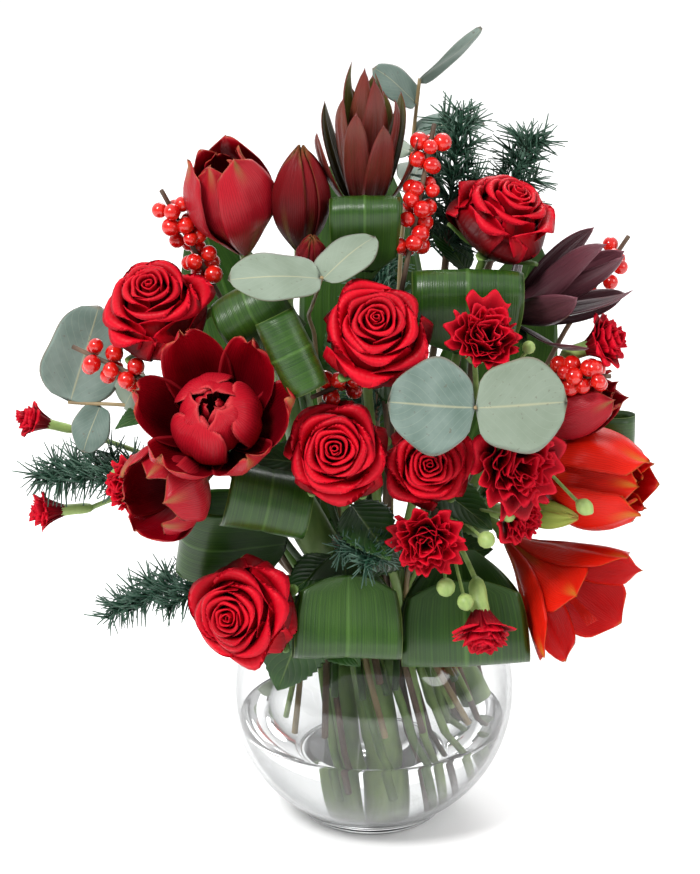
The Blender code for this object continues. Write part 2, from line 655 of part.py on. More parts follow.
def first_route(plant, samples, twist=math.radians(60)):
    """A stem's route before it finds room: off the head, through the mouth, to a foot in the bowl."""
    reach = np.linalg.norm(plant.top[:2])
    mouth = MOUTH_RADIUS - BOWL_WALL - WALL_CLEARANCE - plant.stem_radius
    neck = plant.top[:2] / max(reach, 1.0) * mouth * min(1.0, reach / 120) ** 0.8
    across = np.linalg.norm(neck)
    twist *= (RIM_HEIGHT - plant.foot) / RIM_HEIGHT
    turn = np.array([[math.cos(twist), -math.sin(twist)], [math.sin(twist), math.cos(twist)]])
    foot = turn @ neck / max(across, 1.0) * (FOOT_SPREAD + FOOT_SHARE * across)
    points = [plant.top, plant.top + plant.leaving * plant.bend, (*neck, RIM_HEIGHT + 12),
              (*(foot * 0.5 + neck * 0.4), RIM_HEIGHT * 0.55 + plant.foot * 0.45), (*foot, plant.foot)]
    route = spline(points, samples)
    route[1] = plant.top + plant.leaving * np.linalg.norm(route[1] - route[0])
    return route


def route_stems(plants, samples=42, rounds=440, rough_rounds=120, looked_up=6):
    """Bends the stems until none of them touches another, a head, the rim or the bowl."""
    routes = np.array([first_route(plant, samples) for plant in plants])
    radii = np.array([[plant.stem_radius] * samples for plant in plants])
    owner = np.repeat(np.arange(len(plants)), samples)
    rim = rim_balls(48, 6.0, 0.0)
    rough = [plant.rough_room() for plant in plants] + [rim]
    fine = [plant.room() for plant in plants] + [rim]
    flat_radii = radii.ravel()
    pinned = 2
    feet = routes[:, -1, 2].copy()
    for turn in range(rounds):
        flat = routes.reshape(-1, 3)
        if turn in (0, rough_rounds):
            rooms = rough if turn < rough_rounds else fine
            blocks = np.concatenate([room[0] for room in rooms])
            block_radii = np.concatenate([room[1] for room in rooms])
            block_owner = np.concatenate([np.full(len(room[0]), k) for k, room in enumerate(rooms)])
        if turn % (rounds // 8) == 0:
            routes[:, 1:] = [evenly(route[1:], samples - 1) for route in routes]
        if turn % looked_up == 0:
            rows, columns = near_pairs(flat, flat_radii, flat, flat_radii, 10.0)
            apart = owner[rows] != owner[columns]
            stems = rows[apart], columns[apart]
            rows, columns = near_pairs(flat, flat_radii, blocks, block_radii, 10.0)
            apart = owner[rows] != block_owner[columns]
            solids = rows[apart], columns[apart]
        push = np.zeros_like(flat)
        rows, columns = stems
        reach = flat_radii[rows] + flat_radii[columns] + STEM_CLEARANCE
        way, depth = side_parting(flat, routes, rows, columns, reach)
        np.add.at(push, rows, way * depth[:, None] * 0.35)
        rows, columns = solids
        reach = flat_radii[rows] + block_radii[columns] + HEAD_CLEARANCE
        way, depth = parting(flat[rows], blocks[columns], reach)
        np.add.at(push, rows, way * depth[:, None] * 0.5)
        push = push.reshape(routes.shape)
        length = np.linalg.norm(push, axis=2, keepdims=True)
        push *= np.minimum(1.0, 3.0 / np.maximum(length, 1e-6))
        spread = push.copy()
        spread[:, 1:-1] = 0.5 * push[:, 1:-1] + 0.25 * (push[:, :-2] + push[:, 2:])
        spread[:, :pinned] = 0
        routes += spread
        stiffness = 0.25 if turn < rounds * 0.6 else 0.03
        middle = 0.5 * (routes[:, :-2] + routes[:, 2:]) - routes[:, 1:-1]
        middle[:, :pinned - 1] = 0
        routes[:, 1:-1] += stiffness * middle
        routes[:, -1, 2] = feet
        inside = routes[..., 2] < RIM_HEIGHT + 7
        across = np.linalg.norm(routes[..., :2], axis=2)
        allowed = bowl_room(routes[..., 2]) - radii
        shrink = np.where(inside & (across > allowed), allowed / np.maximum(across, 1e-6), 1.0)
        shrink[:, :pinned] = 1.0
        routes[..., :2] *= shrink[..., None]
        routes[..., 2] = np.maximum(routes[..., 2], BOWL_FLOOR + FOOT_CLEARANCE + radii * 0.3)
    for plant, route in zip(plants, routes):
        plant.stem = route


# ----------------------------------------------------------------------------------- the object
def thinned(points, slack=0.5):
    """The places in a row of points that keep its line within a slack."""
    first, last = points[0], points[-1]
    along = (last - first) / max(np.linalg.norm(last - first), 1e-6)
    offset = points - first
    away = np.linalg.norm(offset - np.outer(offset @ along, along), axis=1)
    worst = int(np.argmax(away))
    if away[worst] <= slack:
        return [0, len(points) - 1]
    left, right = thinned(points[:worst + 1], slack), thinned(points[worst:], slack)
    return left + [worst + place for place in right[1:]]


def stem_rings(plant):
    """The rings of a routed stem, from its head to its foot."""
    centres = plant.stem[sorted({1, *thinned(plant.stem)})]
    return path_rings(centres, plant.stem_radius, plant.stem_radius)


def main():
    for old in list(bpy.data.objects):
        bpy.data.objects.remove(old)

    plants = []
    for grow, table in (
            (rose, ROSES), (amaryllis, AMARYLLIS), (leucadendron, LEUCADENDRONS), (folded_leaf, FOLDED_LEAVES),
            (back_leaf, BACK_LEAVES), (ilex, ILEX), (fir, FIR), (eucalyptus, EUCALYPTUS), (carnation, CARNATIONS)):
        plants += [grow(name, *values) for name, values in table.items()]

    settle_heads(plants)
    route_stems(plants)

    petal = finish_of("rose petal", (0.60, 0.004, 0.018), 0.5)
    wine = finish_of("amaryllis petal", (0.42, 0.010, 0.012), 0.42)
    green = finish_of("stem green", (0.13, 0.22, 0.05), 0.5)
    bract = finish_of("leucadendron bract", (0.13, 0.028, 0.030), 0.45)
    leaf = finish_of("leaf green", (0.03, 0.12, 0.02), 0.35)
    berry = finish_of("berry red", (0.62, 0.02, 0.008), 0.2)
    needle = finish_of("fir needle", (0.03, 0.07, 0.035), 0.5)
    silver = finish_of("eucalyptus leaf", (0.24, 0.31, 0.26), 0.6)
    ruffle = finish_of("carnation petal", (0.55, 0.004, 0.02), 0.55)
    glass = finish_of("clear glass", (0.98, 0.99, 0.99), 0.0, 0.25, 1.0)
    fresh = finish_of("water", (0.96, 0.98, 0.98), 0.0, 0.2, 1.0)

    cutters = []
    for plant in plants:
        kind = plant.kind
        sides = STEM_SIDES[kind]
        stem = stem_rings(plant)
        clear = GAP / math.cos(math.pi / sides) + GAP / 2
        if plant.foot < WATER_LEVEL:
            cutters.append(skin(plant.name + "_hole", stem.swollen(clear), sides))
        if kind in ("rose", "amaryllis"):
            object_of(plant.name + "_stem", skin(plant.name + "_stem", stem, sides), green)
            for bloom, rings in plant.heads.items():
                node = f"{plant.name}_{bloom}"
                object_of(node, skin(node, rings, HEAD_SIDES), petal if kind == "rose" else wine)
        elif kind == "eucalyptus":
            grown = stem.backwards().then(plant.heads.pop("stem"))
            leaves = [skin(f"{plant.name}_{name}", rings, 4) for name, rings in plant.heads.items()]
            joined(plant.name, [skin(plant.name, grown, sides), *leaves], silver)
        elif kind == "carnation":
            flowers = [skin(f"{plant.name}_{name}", rings, 6) for name, rings in plant.heads.items()]
            joined(plant.name, [skin(plant.name, stem, sides), *flowers], ruffle)
        else:
            finish = {"leucadendron": bract, "leaf": leaf, "ilex": berry, "fir": needle}[kind]
            grown = stem.backwards().then(plant.heads[""])
            object_of(plant.name, skin(plant.name, grown, sides), finish)

    make_bowl(glass)
    make_water(fresh, cutters)


main()
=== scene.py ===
# %% [markdown]
# # A winter bouquet with amaryllis in a bubble bowl
# The imported model gives a frame: sixty plain solids that say where every bloom, leaf and stem is.
# This lesson reads each solid's rings and grows the real flower on them. Only a few small things that the
# frame doesn't have, such as the rose leaves over the rim and the green buds, are placed one by one.
# Everything is computed in millimetres and turned into metres when a mesh is made.

# %% Load the frame and measure it
import math

import bpy
import numpy as np
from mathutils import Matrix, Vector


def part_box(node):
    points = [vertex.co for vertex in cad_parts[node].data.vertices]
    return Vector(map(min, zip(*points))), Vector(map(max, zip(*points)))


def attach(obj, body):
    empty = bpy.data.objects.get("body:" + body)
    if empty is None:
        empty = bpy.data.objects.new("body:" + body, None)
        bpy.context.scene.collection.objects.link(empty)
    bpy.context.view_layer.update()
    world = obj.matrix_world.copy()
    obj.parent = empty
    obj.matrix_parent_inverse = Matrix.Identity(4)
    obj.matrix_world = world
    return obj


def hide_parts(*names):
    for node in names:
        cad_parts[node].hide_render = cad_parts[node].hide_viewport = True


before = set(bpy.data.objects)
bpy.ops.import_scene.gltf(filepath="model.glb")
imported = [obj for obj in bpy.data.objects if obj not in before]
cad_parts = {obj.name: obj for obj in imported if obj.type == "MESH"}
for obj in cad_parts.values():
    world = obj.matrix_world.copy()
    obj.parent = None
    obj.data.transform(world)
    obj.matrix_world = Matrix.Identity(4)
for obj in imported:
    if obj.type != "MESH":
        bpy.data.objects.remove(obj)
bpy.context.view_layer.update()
MM = 0.001
GOLDEN_TURN = math.radians(137.5)
BODY = "root"
print("nodes in the frame:", len(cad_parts))

# %% [markdown]
# ## Reading a swept solid
# Each stem, leaf and bloom in the frame was swept: rings of corners with a skin between them. The
# rings could be typed in again, but then a change to the model would leave them behind. Walking the
# mesh from its end cap, one row of neighbours at a time, finds the same rings in any version.

# %% Vectors and smooth paths


def unit(vector):
    vector = np.asarray(vector, float)
    return vector / np.linalg.norm(vector)


def square_to(axis, towards):
    """A unit vector square to an axis, as near as it gets to another direction."""
    towards = np.asarray(towards, float)
    return unit(towards - axis * (towards @ axis))


def smoothed(values, along, marks):
    """Values of a smooth curve through a table of rows, at marks along it."""
    slopes = np.gradient(values, along, axis=0)
    k = np.clip(np.searchsorted(along, marks, side="right") - 1, 0, len(along) - 2)
    step = (along[k + 1] - along[k])[:, None]
    t = ((marks - along[k])[:, None]) / step
    return ((2 * t**3 - 3 * t**2 + 1) * values[k] + (t**3 - 2 * t**2 + t) * step * slopes[k]
            + (3 * t**2 - 2 * t**3) * values[k + 1] + (t**3 - t**2) * step * slopes[k + 1])


def resampled(points, spacing, *columns):
    """A smooth path through points, with samples about a spacing apart, and its other columns with it."""
    points = np.asarray(points, float)
    along = np.concatenate([[0], np.cumsum(np.linalg.norm(np.diff(points, axis=0), axis=1))])
    marks = np.linspace(0, along[-1], max(3, 1 + int(along[-1] / spacing)))
    table = np.column_stack([points, *columns])
    smooth = smoothed(table, along, marks)
    return smooth[:, :3], smooth[:, 3:]


# %% Find the rings of a node


def welded(node):
    """A node's corners in millimetres with doubles merged, and its triangles."""
    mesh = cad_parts[node].data
    corners = np.array([vertex.co for vertex in mesh.vertices]) / MM
    points, index = np.unique(corners, axis=0, return_inverse=True)
    return points, index.reshape(-1)[np.array([face.vertices for face in mesh.polygons])]


def flat_faces(points, faces):
    """Sets of corners that lie in one plane, with the number of triangles in each."""
    normals = np.cross(points[faces[:, 1]] - points[faces[:, 0]], points[faces[:, 2]] - points[faces[:, 0]])
    normals /= np.maximum(np.linalg.norm(normals, axis=1), 1e-12)[:, None]
    beside_edge = {}
    for number, face in enumerate(faces):
        for a, b in zip(face, np.roll(face, 1)):
            beside_edge.setdefault((min(a, b), max(a, b)), []).append(number)
    nearby = [[] for _ in faces]
    for pair in beside_edge.values():
        if len(pair) == 2 and normals[pair[0]] @ normals[pair[1]] > 0.99999:
            nearby[pair[0]].append(pair[1])
            nearby[pair[1]].append(pair[0])
    seen = set()
    for start in range(len(faces)):
        if start in seen:
            continue
        seen.add(start)
        group = [start]
        for face in group:
            for other in nearby[face]:
                if other not in seen:
                    seen.add(other)
                    group.append(other)
        yield set(faces[group].ravel()), len(group), normals[start]


def rings_of(node, sides, near=None):
    """The rings of a swept node, from the end cap nearest to a point, or else from its foot."""
    points, faces = welded(node)
    near = points[np.argmin(points[:, 2])] if near is None else near
    neighbours = [set() for _ in points]
    for face in faces:
        for a in face:
            neighbours[a].update(face)
    caps = []
    for corners, triangles, _ in flat_faces(points, faces):
        if len(corners) == sides and triangles == sides - 2:
            ring = points[sorted(corners)]
            middle = ring.mean(axis=0)
            size = np.linalg.norm(ring - middle, axis=1).max()
            caps.append((np.linalg.norm(middle - near) + size, sorted(corners)))
    rows = [min(caps)[1]]
    seen = set(rows[0])
    while True:
        following = set().union(*(neighbours[k] for k in rows[-1])) - seen
        if len(following) != sides:
            return [points[row] for row in rows]
        rows.append(sorted(following))
        seen |= following


def middles_of(rings):
    return np.array([ring.mean(axis=0) for ring in rings])


def radii_of(rings):
    return np.array([np.linalg.norm(ring - ring.mean(axis=0), axis=1).max() for ring in rings])


# %% [markdown]
# ## Gathering petals into one mesh
# A petal could be an open surface with a Solidify modifier, but its rim would be a hard little wall.
# Here each petal is a closed leaf shape: two skins that meet in a thin rim, as real petals do.

# %% The shape that gathers sheets


class Shape:
    """Closed sheets and solids gathered into one mesh, with a UV map and a tone for each sheet.

    A sheet also says which of its two sides is the inner one, which petals need for their two colours.
    """

    def __init__(self):
        self.points, self.faces, self.uvs, self.tones, self.inner, self.count = [], [], [], [], [], 0

    def patch(self, points, faces, uvs, tone, outside=None):
        self.points.append(points)
        self.faces += [tuple(int(k) + self.count for k in face) for face in faces]
        self.uvs.append(uvs)
        self.tones.append(np.full(len(points), tone))
        self.inner.append(np.arange(len(points)) >= (len(points) if outside is None else outside))
        self.count += len(points)

    def sheet(self, grid, thickness, tone=0.5):
        """A closed thin sheet over a grid of points, sharp at its rim."""
        rows, columns = grid.shape[:2]
        normal = np.cross(np.gradient(grid, axis=1), np.gradient(grid, axis=0))
        normal /= np.maximum(np.linalg.norm(normal, axis=2, keepdims=True), 1e-9)
        v, u = np.meshgrid(np.linspace(0, 1, rows), np.linspace(0, 1, columns), indexing="ij")
        inward = np.minimum.reduce([u, 1 - u, v, 1 - v])
        half = thickness / 2 * np.sqrt(np.clip(inward * 7, 0, 1))[..., None]
        front = np.arange(rows * columns).reshape(rows, columns)
        back = front.copy()
        back[1:-1, 1:-1] = rows * columns + np.arange((rows - 2) * (columns - 2)).reshape(rows - 2, columns - 2)
        inner = (grid - normal * half)[1:-1, 1:-1].reshape(-1, 3)
        points = np.concatenate([(grid + normal * half).reshape(-1, 3), inner])
        uv = np.stack([u, v], axis=2)
        faces = []
        for skin, flip in ((front, False), (back, True)):
            quads = np.stack([skin[:-1, :-1], skin[:-1, 1:], skin[1:, 1:], skin[1:, :-1]], axis=2).reshape(-1, 4)
            faces.append(quads[:, ::-1] if flip else quads)
        uvs = np.concatenate([uv.reshape(-1, 2), uv[1:-1, 1:-1].reshape(-1, 2)])
        self.patch(points, np.concatenate(faces), uvs, tone, rows * columns)

    def tube(self, path, radii, sides=10, tone=0.5):
        """A closed tube along a path, rounded off at both ends."""
        path = np.asarray(path, float)
        radii = np.broadcast_to(radii, len(path)).astype(float)
        tangents = np.gradient(path, axis=0)
        tangents /= np.linalg.norm(tangents, axis=1)[:, None]
        side = square_to(tangents[0], (0.3, 0.2, 1.0) if abs(tangents[0][2]) < 0.9 else (1, 0, 0))
        angles = np.linspace(0, 2 * math.pi, sides, endpoint=False)
        rows, uvs = [], []
        along = np.concatenate([[0], np.cumsum(np.linalg.norm(np.diff(path, axis=0), axis=1))])
        for centre, tangent, radius, length in zip(path, tangents, radii, along):
            side = square_to(tangent, side)
            up = np.cross(tangent, side)
            rows.append(centre + radius * (np.outer(np.cos(angles), side) + np.outer(np.sin(angles), up)))
            uvs.append(np.column_stack([angles / (2 * math.pi), np.full(sides, length / 100)]))
        ends = np.array([path[0] - tangents[0] * radii[0] * 0.35, path[-1] + tangents[-1] * radii[-1] * 0.35])
        index = np.arange(len(path) * sides).reshape(len(path), sides)
        after = np.roll(index, -1, axis=1)
        quads = np.stack([index[:-1], after[:-1], after[1:], index[1:]], axis=2).reshape(-1, 4)
        first, last = len(path) * sides, len(path) * sides + 1
        faces = [tuple(quad) for quad in quads]
        faces += [(first, after[0, k], index[0, k]) for k in range(sides)]
        faces += [(last, index[-1, k], after[-1, k]) for k in range(sides)]
        uvs += [np.array([[0.5, 0.0], [0.5, along[-1] / 100]])]
        self.patch(np.concatenate([*rows, ends]), faces, np.concatenate(uvs), tone)

    def turned(self, profile, segments, tone=0.5):
        """A closed solid of revolution about the Z axis, from an outline that starts and ends on it."""
        profile = np.asarray(profile, float)
        angles = np.linspace(0, 2 * math.pi, segments, endpoint=False)
        ring = profile[1:-1]
        points = np.stack([np.outer(ring[:, 0], np.cos(angles)), np.outer(ring[:, 0], np.sin(angles)),
                           np.repeat(ring[:, 1:], segments, axis=1)], axis=2)
        index = np.arange(len(ring) * segments).reshape(len(ring), segments)
        after = np.roll(index, -1, axis=1)
        quads = np.stack([index[:-1], after[:-1], after[1:], index[1:]], axis=2).reshape(-1, 4)
        first, last = index.size, index.size + 1
        faces = [tuple(quad) for quad in quads]
        faces += [(first, after[0, k], index[0, k]) for k in range(segments)]
        faces += [(last, index[-1, k], after[-1, k]) for k in range(segments)]
        poles = np.array([[0, 0, profile[0, 1]], [0, 0, profile[-1, 1]]])
        uvs = np.zeros((index.size + 2, 2))
        self.patch(np.concatenate([points.reshape(-1, 3), poles]), faces, uvs, tone)

    def mesh(self, name):
        mesh = bpy.data.meshes.new(name)
        mesh.from_pydata((np.concatenate(self.points) * MM).tolist(), [], self.faces)
        corner = np.empty(len(mesh.loops), np.int32)
        mesh.loops.foreach_get("vertex_index", corner)
        layer = mesh.uv_layers.new(name="surface")
        layer.data.foreach_set("uv", np.concatenate(self.uvs)[corner].astype(np.float32).ravel())
        for label, values in (("tone", self.tones), ("inner side", self.inner)):
            layer = mesh.attributes.new(label, "FLOAT", "POINT")
            layer.data.foreach_set("value", np.concatenate(values).astype(np.float32))
        mesh.shade_smooth()
        return mesh


def show(name, mesh, finish, slot, *nodes):
    """Puts a finished mesh in the scene as a piece that rides on the body and stands for some nodes."""
    if not mesh.materials:
        mesh.materials.append(finish)
    piece = bpy.data.objects.new(name, mesh)
    bpy.context.scene.collection.objects.link(piece)
    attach(piece, BODY)
    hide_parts(*nodes)
    print(f"{name}: {len(mesh.polygons)} faces")
    return piece


# %% [markdown]
# ## Writing node trees as sums
# A node tree in a script is long and hard to read. One small class wraps an output socket so that
# `1 - edge * 0.5` adds the Math nodes, and one method makes every other node.

# %% Sockets that take part in sums


class Wire:
    """One output in a node tree. A sum written with it adds the tree's Math nodes."""

    def __init__(self, nodes, socket):
        self.nodes, self.socket = nodes, socket

    def math(self, operation, other=0.5, swapped=False):
        pair = (other, self) if swapped else (self, other)
        return self.nodes.node("ShaderNodeMath", {"operation": operation}, {0: pair[0], 1: pair[1]})

    def __add__(self, other):
        return self.math("ADD", other)

    def __sub__(self, other):
        return self.math("SUBTRACT", other)

    def __rsub__(self, other):
        return self.math("SUBTRACT", other, swapped=True)

    def __mul__(self, other):
        return self.math("MULTIPLY", other)

    def __truediv__(self, other):
        return self.math("DIVIDE", other)

    def __pow__(self, other):
        return self.math("POWER", other)

    __radd__ = __add__
    __rmul__ = __mul__

    def size(self):
        return self.math("ABSOLUTE")

    def sine(self):
        return self.math("SINE")

    def step(self, low, high):
        """0 below low, 1 above high, and smooth in between."""
        return self.nodes.node("ShaderNodeMapRange", {"interpolation_type": "SMOOTHSTEP"},
                               {"Value": self, "From Min": low, "From Max": high})


class Nodes:
    """A node tree that nodes are added to by kind, settings and inputs."""

    def __init__(self, tree):
        self.tree = tree

    def node(self, kind, settings=None, inputs=None, output=0):
        made = self.tree.nodes.new(kind)
        for key, value in (settings or {}).items():
            setattr(made, key, value)
        for key, value in (inputs or {}).items():
            if isinstance(value, Wire):
                self.tree.links.new(value.socket, made.inputs[key])
            else:
                made.inputs[key].default_value = value
        return Wire(self, made.outputs[output])


class Finish(Nodes):
    """A material whose pattern follows the piece's own UV map, its tone, or its place."""

    def __init__(self, name):
        self.material = bpy.data.materials.new(name)
        self.material.use_nodes = True
        super().__init__(self.material.node_tree)
        self.shader = self.tree.nodes["Principled BSDF"]

    def surface(self):
        """U, across the petal, and V, along it, both 0 to 1."""
        uv = self.node("ShaderNodeUVMap", {"uv_map": "surface"})
        return self.node("ShaderNodeSeparateXYZ", {}, {0: uv}), self.node("ShaderNodeSeparateXYZ", {}, {0: uv}, 1)

    def tone(self, name="tone"):
        return self.node("ShaderNodeAttribute", {"attribute_name": name}, {}, 2)

    def place(self, stretch=(1.0, 1.0, 1.0)):
        place = self.node("ShaderNodeTexCoord", {}, {}, 3)
        return self.node("ShaderNodeMapping", {}, {"Vector": place, "Scale": stretch})

    def on_surface(self, stretch):
        uv = self.node("ShaderNodeUVMap", {"uv_map": "surface"})
        return self.node("ShaderNodeMapping", {}, {"Vector": uv, "Scale": stretch})

    def noise(self, where, scale, detail=2.0):
        return self.node("ShaderNodeTexNoise", {}, {"Vector": where, "Scale": scale, "Detail": detail})

    def mix(self, share, first, second):
        """A colour between two colours."""
        return self.node("ShaderNodeMix", {"data_type": "RGBA"}, {0: share, 6: first, 7: second}, 2)

    def paint(self, colour, roughness=0.5, bump=None, depth=0.0005, strength=0.6, **constants):
        for key, value in {"Base Color": colour, "Roughness": roughness, **constants}.items():
            socket = self.shader.inputs[key.replace("_", " ")]
            if isinstance(value, Wire):
                self.tree.links.new(value.socket, socket)
            else:
                socket.default_value = value
        if bump is not None:
            rise = self.node("ShaderNodeBump", {}, {"Height": bump, "Distance": depth, "Strength": strength})
            self.tree.links.new(rise.socket, self.shader.inputs["Normal"])
        return self.material


def colour(red, green, blue):
    return (red, green, blue, 1.0)


# %% [markdown]
# ## Petal finishes
# Red petals look flat if they are one red. On the real ones fine veins run from base to rim. The base is
# darkened with painted shade, and the thin rim is lightened with a painted glow of light shining through it.
# V along the petal and U across it carry all three, and the tone makes each petal differ a little from its
# neighbour.

# %% Rose, carnation and amaryllis petals


def petal_finish(name, deep, bright, rim, veins=26.0, vein_depth=0.25, rough=0.45, rim_at=0.86, tips=None,
                 shade_fall=0.75, outside=None, wax=0.12):
    """Painted shade at the base, bright along the petal, the rim colour at the rim, with fine veins along it."""
    finish = Finish(name)
    u, v = finish.surface()
    patch = finish.noise(finish.place(), 55.0, 3.0)
    ripple = finish.noise(finish.on_surface((3.0, 1.2, 1.0)), 5.0)
    lines = ((u * veins + ripple * 1.5) * math.pi).sine().size()
    # painted shade: the petal darkens from its rim down to its base, as if shaded deep inside the flower; patch
    # and tone add random tone
    painted_shade_and_tone = (v * shade_fall + patch * 0.35 + finish.tone() * 0.35 - (shade_fall - 0.4)).step(0.0, 1.0)
    body = finish.mix(painted_shade_and_tone, deep, bright)
    across = (u - 0.5).size() * 2
    if outside is not None:
        back = (1 - finish.tone("inner side")).step(0.3, 0.7)
        body = finish.mix(back * (0.35 + patch * 0.5 + v * 0.2), body, outside)
        if tips is not None:
            keel = (1 - across.step(0.02, 0.30)) * v.step(0.72, 1.0) * back
            body = finish.mix(keel * (patch * 0.8 + 0.3), body, tips)
    body = finish.mix((1 - lines).step(0.45, 1.0) * vein_depth, body, deep)
    # painted light: the rim and the sides near it turn towards the rim colour; where that colour is lighter it is
    # a glow of light shining through the thin petal, and on the buds it is their own edge colour
    edge = v.step(rim_at, 1.0) * 0.7
    side = across.step(0.88, 1.0) * v.step(0.4, 0.8) * 0.5
    body = finish.mix((edge + side) * 0.6, body, rim)
    if tips is not None:
        middle = 1 - across.step(0.03, 0.22)
        body = finish.mix(v.step(0.97, 1.0) * 0.3 + middle * (1 - v.step(0.1, 0.5)) * 0.4, body, tips)
    return finish.paint(body, patch * 0.18 + (rough - 0.09), lines * 0.5 + patch * 0.6, 0.0004, 0.5,
                        Specular_IOR_Level=wax)


rose_finish = petal_finish("rose petal", colour(0.060, 0.0, 0.001), colour(0.58, 0.0, 0.009),
                           colour(0.84, 0.012, 0.036), 16.0, 0.08, 0.46, shade_fall=1.45)
carnation_finish = petal_finish("carnation petal", colour(0.11, 0.0, 0.003), colour(0.58, 0.0, 0.012),
                                colour(0.78, 0.010, 0.035), 8.0, 0.1, 0.55, 0.8, shade_fall=1.25)
wine_finish = petal_finish("wine amaryllis petal", colour(0.040, 0.0, 0.002), colour(0.34, 0.0, 0.006),
                           colour(0.52, 0.030, 0.034), 30.0, 0.4, 0.34, 0.93, colour(0.30, 0.20, 0.06), 0.9,
                           colour(0.40, 0.010, 0.020), 0.2)
heart_finish = petal_finish("inner amaryllis petal", colour(0.12, 0.0, 0.003), colour(0.56, 0.002, 0.010),
                            colour(0.74, 0.09, 0.09), 26.0, 0.35, 0.36, 0.92, shade_fall=1.1,
                            outside=colour(0.44, 0.008, 0.020), wax=0.2)
scarlet_finish = petal_finish("scarlet amaryllis petal", colour(0.20, 0.0, 0.001), colour(0.62, 0.003, 0.003),
                              colour(0.72, 0.025, 0.010), 34.0, 0.4, 0.34, 0.93, colour(0.46, 0.26, 0.03), 0.9,
                              colour(0.70, 0.014, 0.004))
bud_finish = petal_finish("amaryllis bud", colour(0.045, 0.004, 0.004), colour(0.20, 0.004, 0.008),
                          colour(0.15, 0.11, 0.03), 22.0, 0.5, 0.4, 0.86, colour(0.15, 0.12, 0.03))
green_bud_finish = petal_finish("green bud", colour(0.16, 0.22, 0.03), colour(0.42, 0.46, 0.10),
                                colour(0.60, 0.16, 0.08), 16.0, 0.3, 0.4, 0.9)
bract_finish = petal_finish("leucadendron bract", colour(0.030, 0.022, 0.006), colour(0.11, 0.10, 0.018),
                            colour(0.17, 0.03, 0.03), 10.0, 0.3, 0.34, 0.93,
                            outside=colour(0.15, 0.006, 0.014), wax=0.3)
plum_finish = petal_finish("plum leucadendron leaf", colour(0.035, 0.012, 0.016), colour(0.115, 0.036, 0.048),
                           colour(0.30, 0.10, 0.13), 8.0, 0.3, 0.34, 0.93, wax=0.3)

# %% [markdown]
# ## Leaf finishes
# Aspidistra leaves are glossy, with fine straight veins along their length: the veins come from U, the
# gloss from a thin coat. Eucalyptus is the opposite, dry and powdery, with freckles and a pale midrib.

# %% Green finishes


def blade_finish(name, deep, bright, gloss=0.28):
    finish = Finish(name)
    u, _ = finish.surface()
    wide = finish.noise(finish.on_surface((26.0, 0.5, 1.0)), 2.0, 4.0)
    lines = ((u * 46 + wide * 1.2) * math.pi).sine().size()
    cloud = finish.noise(finish.place(), 22.0, 3.0)
    body = finish.mix((wide * 0.8 + cloud * 0.5 - 0.25).step(0.1, 0.9), deep, bright)
    body = finish.mix((1 - lines).step(0.5, 1.0) * 0.35, body, deep)
    rib = 1 - ((u - 0.5).size() * 2).step(0.0, 0.05)
    body = finish.mix(rib * 0.3, body, colour(0.12, 0.25, 0.05))
    edge = ((u - 0.5).size() * 2).step(0.975, 1.0)
    body = finish.mix(edge * 0.5, body, colour(0.22, 0.32, 0.07))
    return finish.paint(body, cloud * 0.14 + gloss, lines * 0.35 + wide * 1.0 + rib * 0.5, 0.0004, 0.45,
                        Coat_Weight=0.12, Coat_Roughness=0.25, Specular_IOR_Level=0.4)


def plate_finish(name, deep, pale):
    finish = Finish(name)
    u, v = finish.surface()
    cloud = finish.noise(finish.place(), 60.0, 6.0)
    freckles = finish.noise(finish.place(), 420.0, 2.0).step(0.66, 0.74)
    spread = (u - 0.5).size()
    ribs = ((v * 9 - spread * 9) * math.pi).sine().size()
    body = finish.mix((cloud * 0.9 + finish.tone() * 0.6 - 0.25).step(0.1, 0.95), deep, pale)
    body = finish.mix(finish.tone().step(0.45, 0.8) * 0.45, body, colour(0.20, 0.235, 0.135))
    body = finish.mix((1 - ribs).step(0.78, 1.0) * 0.22, body, colour(0.30, 0.36, 0.28))
    rib = 1 - (spread * 2).step(0.0, 0.045)
    body = finish.mix(rib * 0.55, body, colour(0.42, 0.40, 0.24))
    edge = (spread * 2).step(0.94, 1.0) + v.step(0.95, 1.0)
    body = finish.mix(edge * 0.55, body, colour(0.22, 0.13, 0.07))
    body = finish.mix(freckles * 0.5, body, colour(0.10, 0.07, 0.05))
    return finish.paint(body, cloud * 0.15 + 0.5, cloud * 0.5 + rib * 0.5, 0.0004, 0.4, Specular_IOR_Level=0.3,
                        Sheen_Weight=0.2)


def stalk_finish(name, deep, bright, gloss=0.4, grain=90.0):
    finish = Finish(name)
    grained = finish.noise(finish.place((1.0, 1.0, 0.18)), grain, 4.0)
    body = finish.mix((grained * 1.1 + finish.tone() * 0.4 - 0.3).step(0.15, 0.85), deep, bright)
    return finish.paint(body, grained * 0.2 + gloss, grained, 0.0006, 0.6)


def serrated_finish(name, deep, bright):
    """A rose leaf: dark and satin, with a pale midrib and side veins that run forward to the rim."""
    finish = Finish(name)
    u, v = finish.surface()
    spread = (u - 0.5).size() * 2
    cloud = finish.noise(finish.place(), 70.0, 4.0)
    ribs = ((v * 9 - spread * 3.5) * math.pi).sine().size()
    vein = (1 - ribs).step(0.86, 1.0)
    rib = 1 - spread.step(0.0, 0.06)
    body = finish.mix((cloud * 0.9 + finish.tone() * 0.5 - 0.2).step(0.1, 0.9), deep, bright)
    body = finish.mix(vein * 0.35 + rib * 0.6, body, colour(0.17, 0.27, 0.07))
    return finish.paint(body, cloud * 0.15 + 0.3, ribs * 0.6 - rib * 0.8 + cloud * 0.3, 0.0006, 0.6,
                        Specular_IOR_Level=0.4)


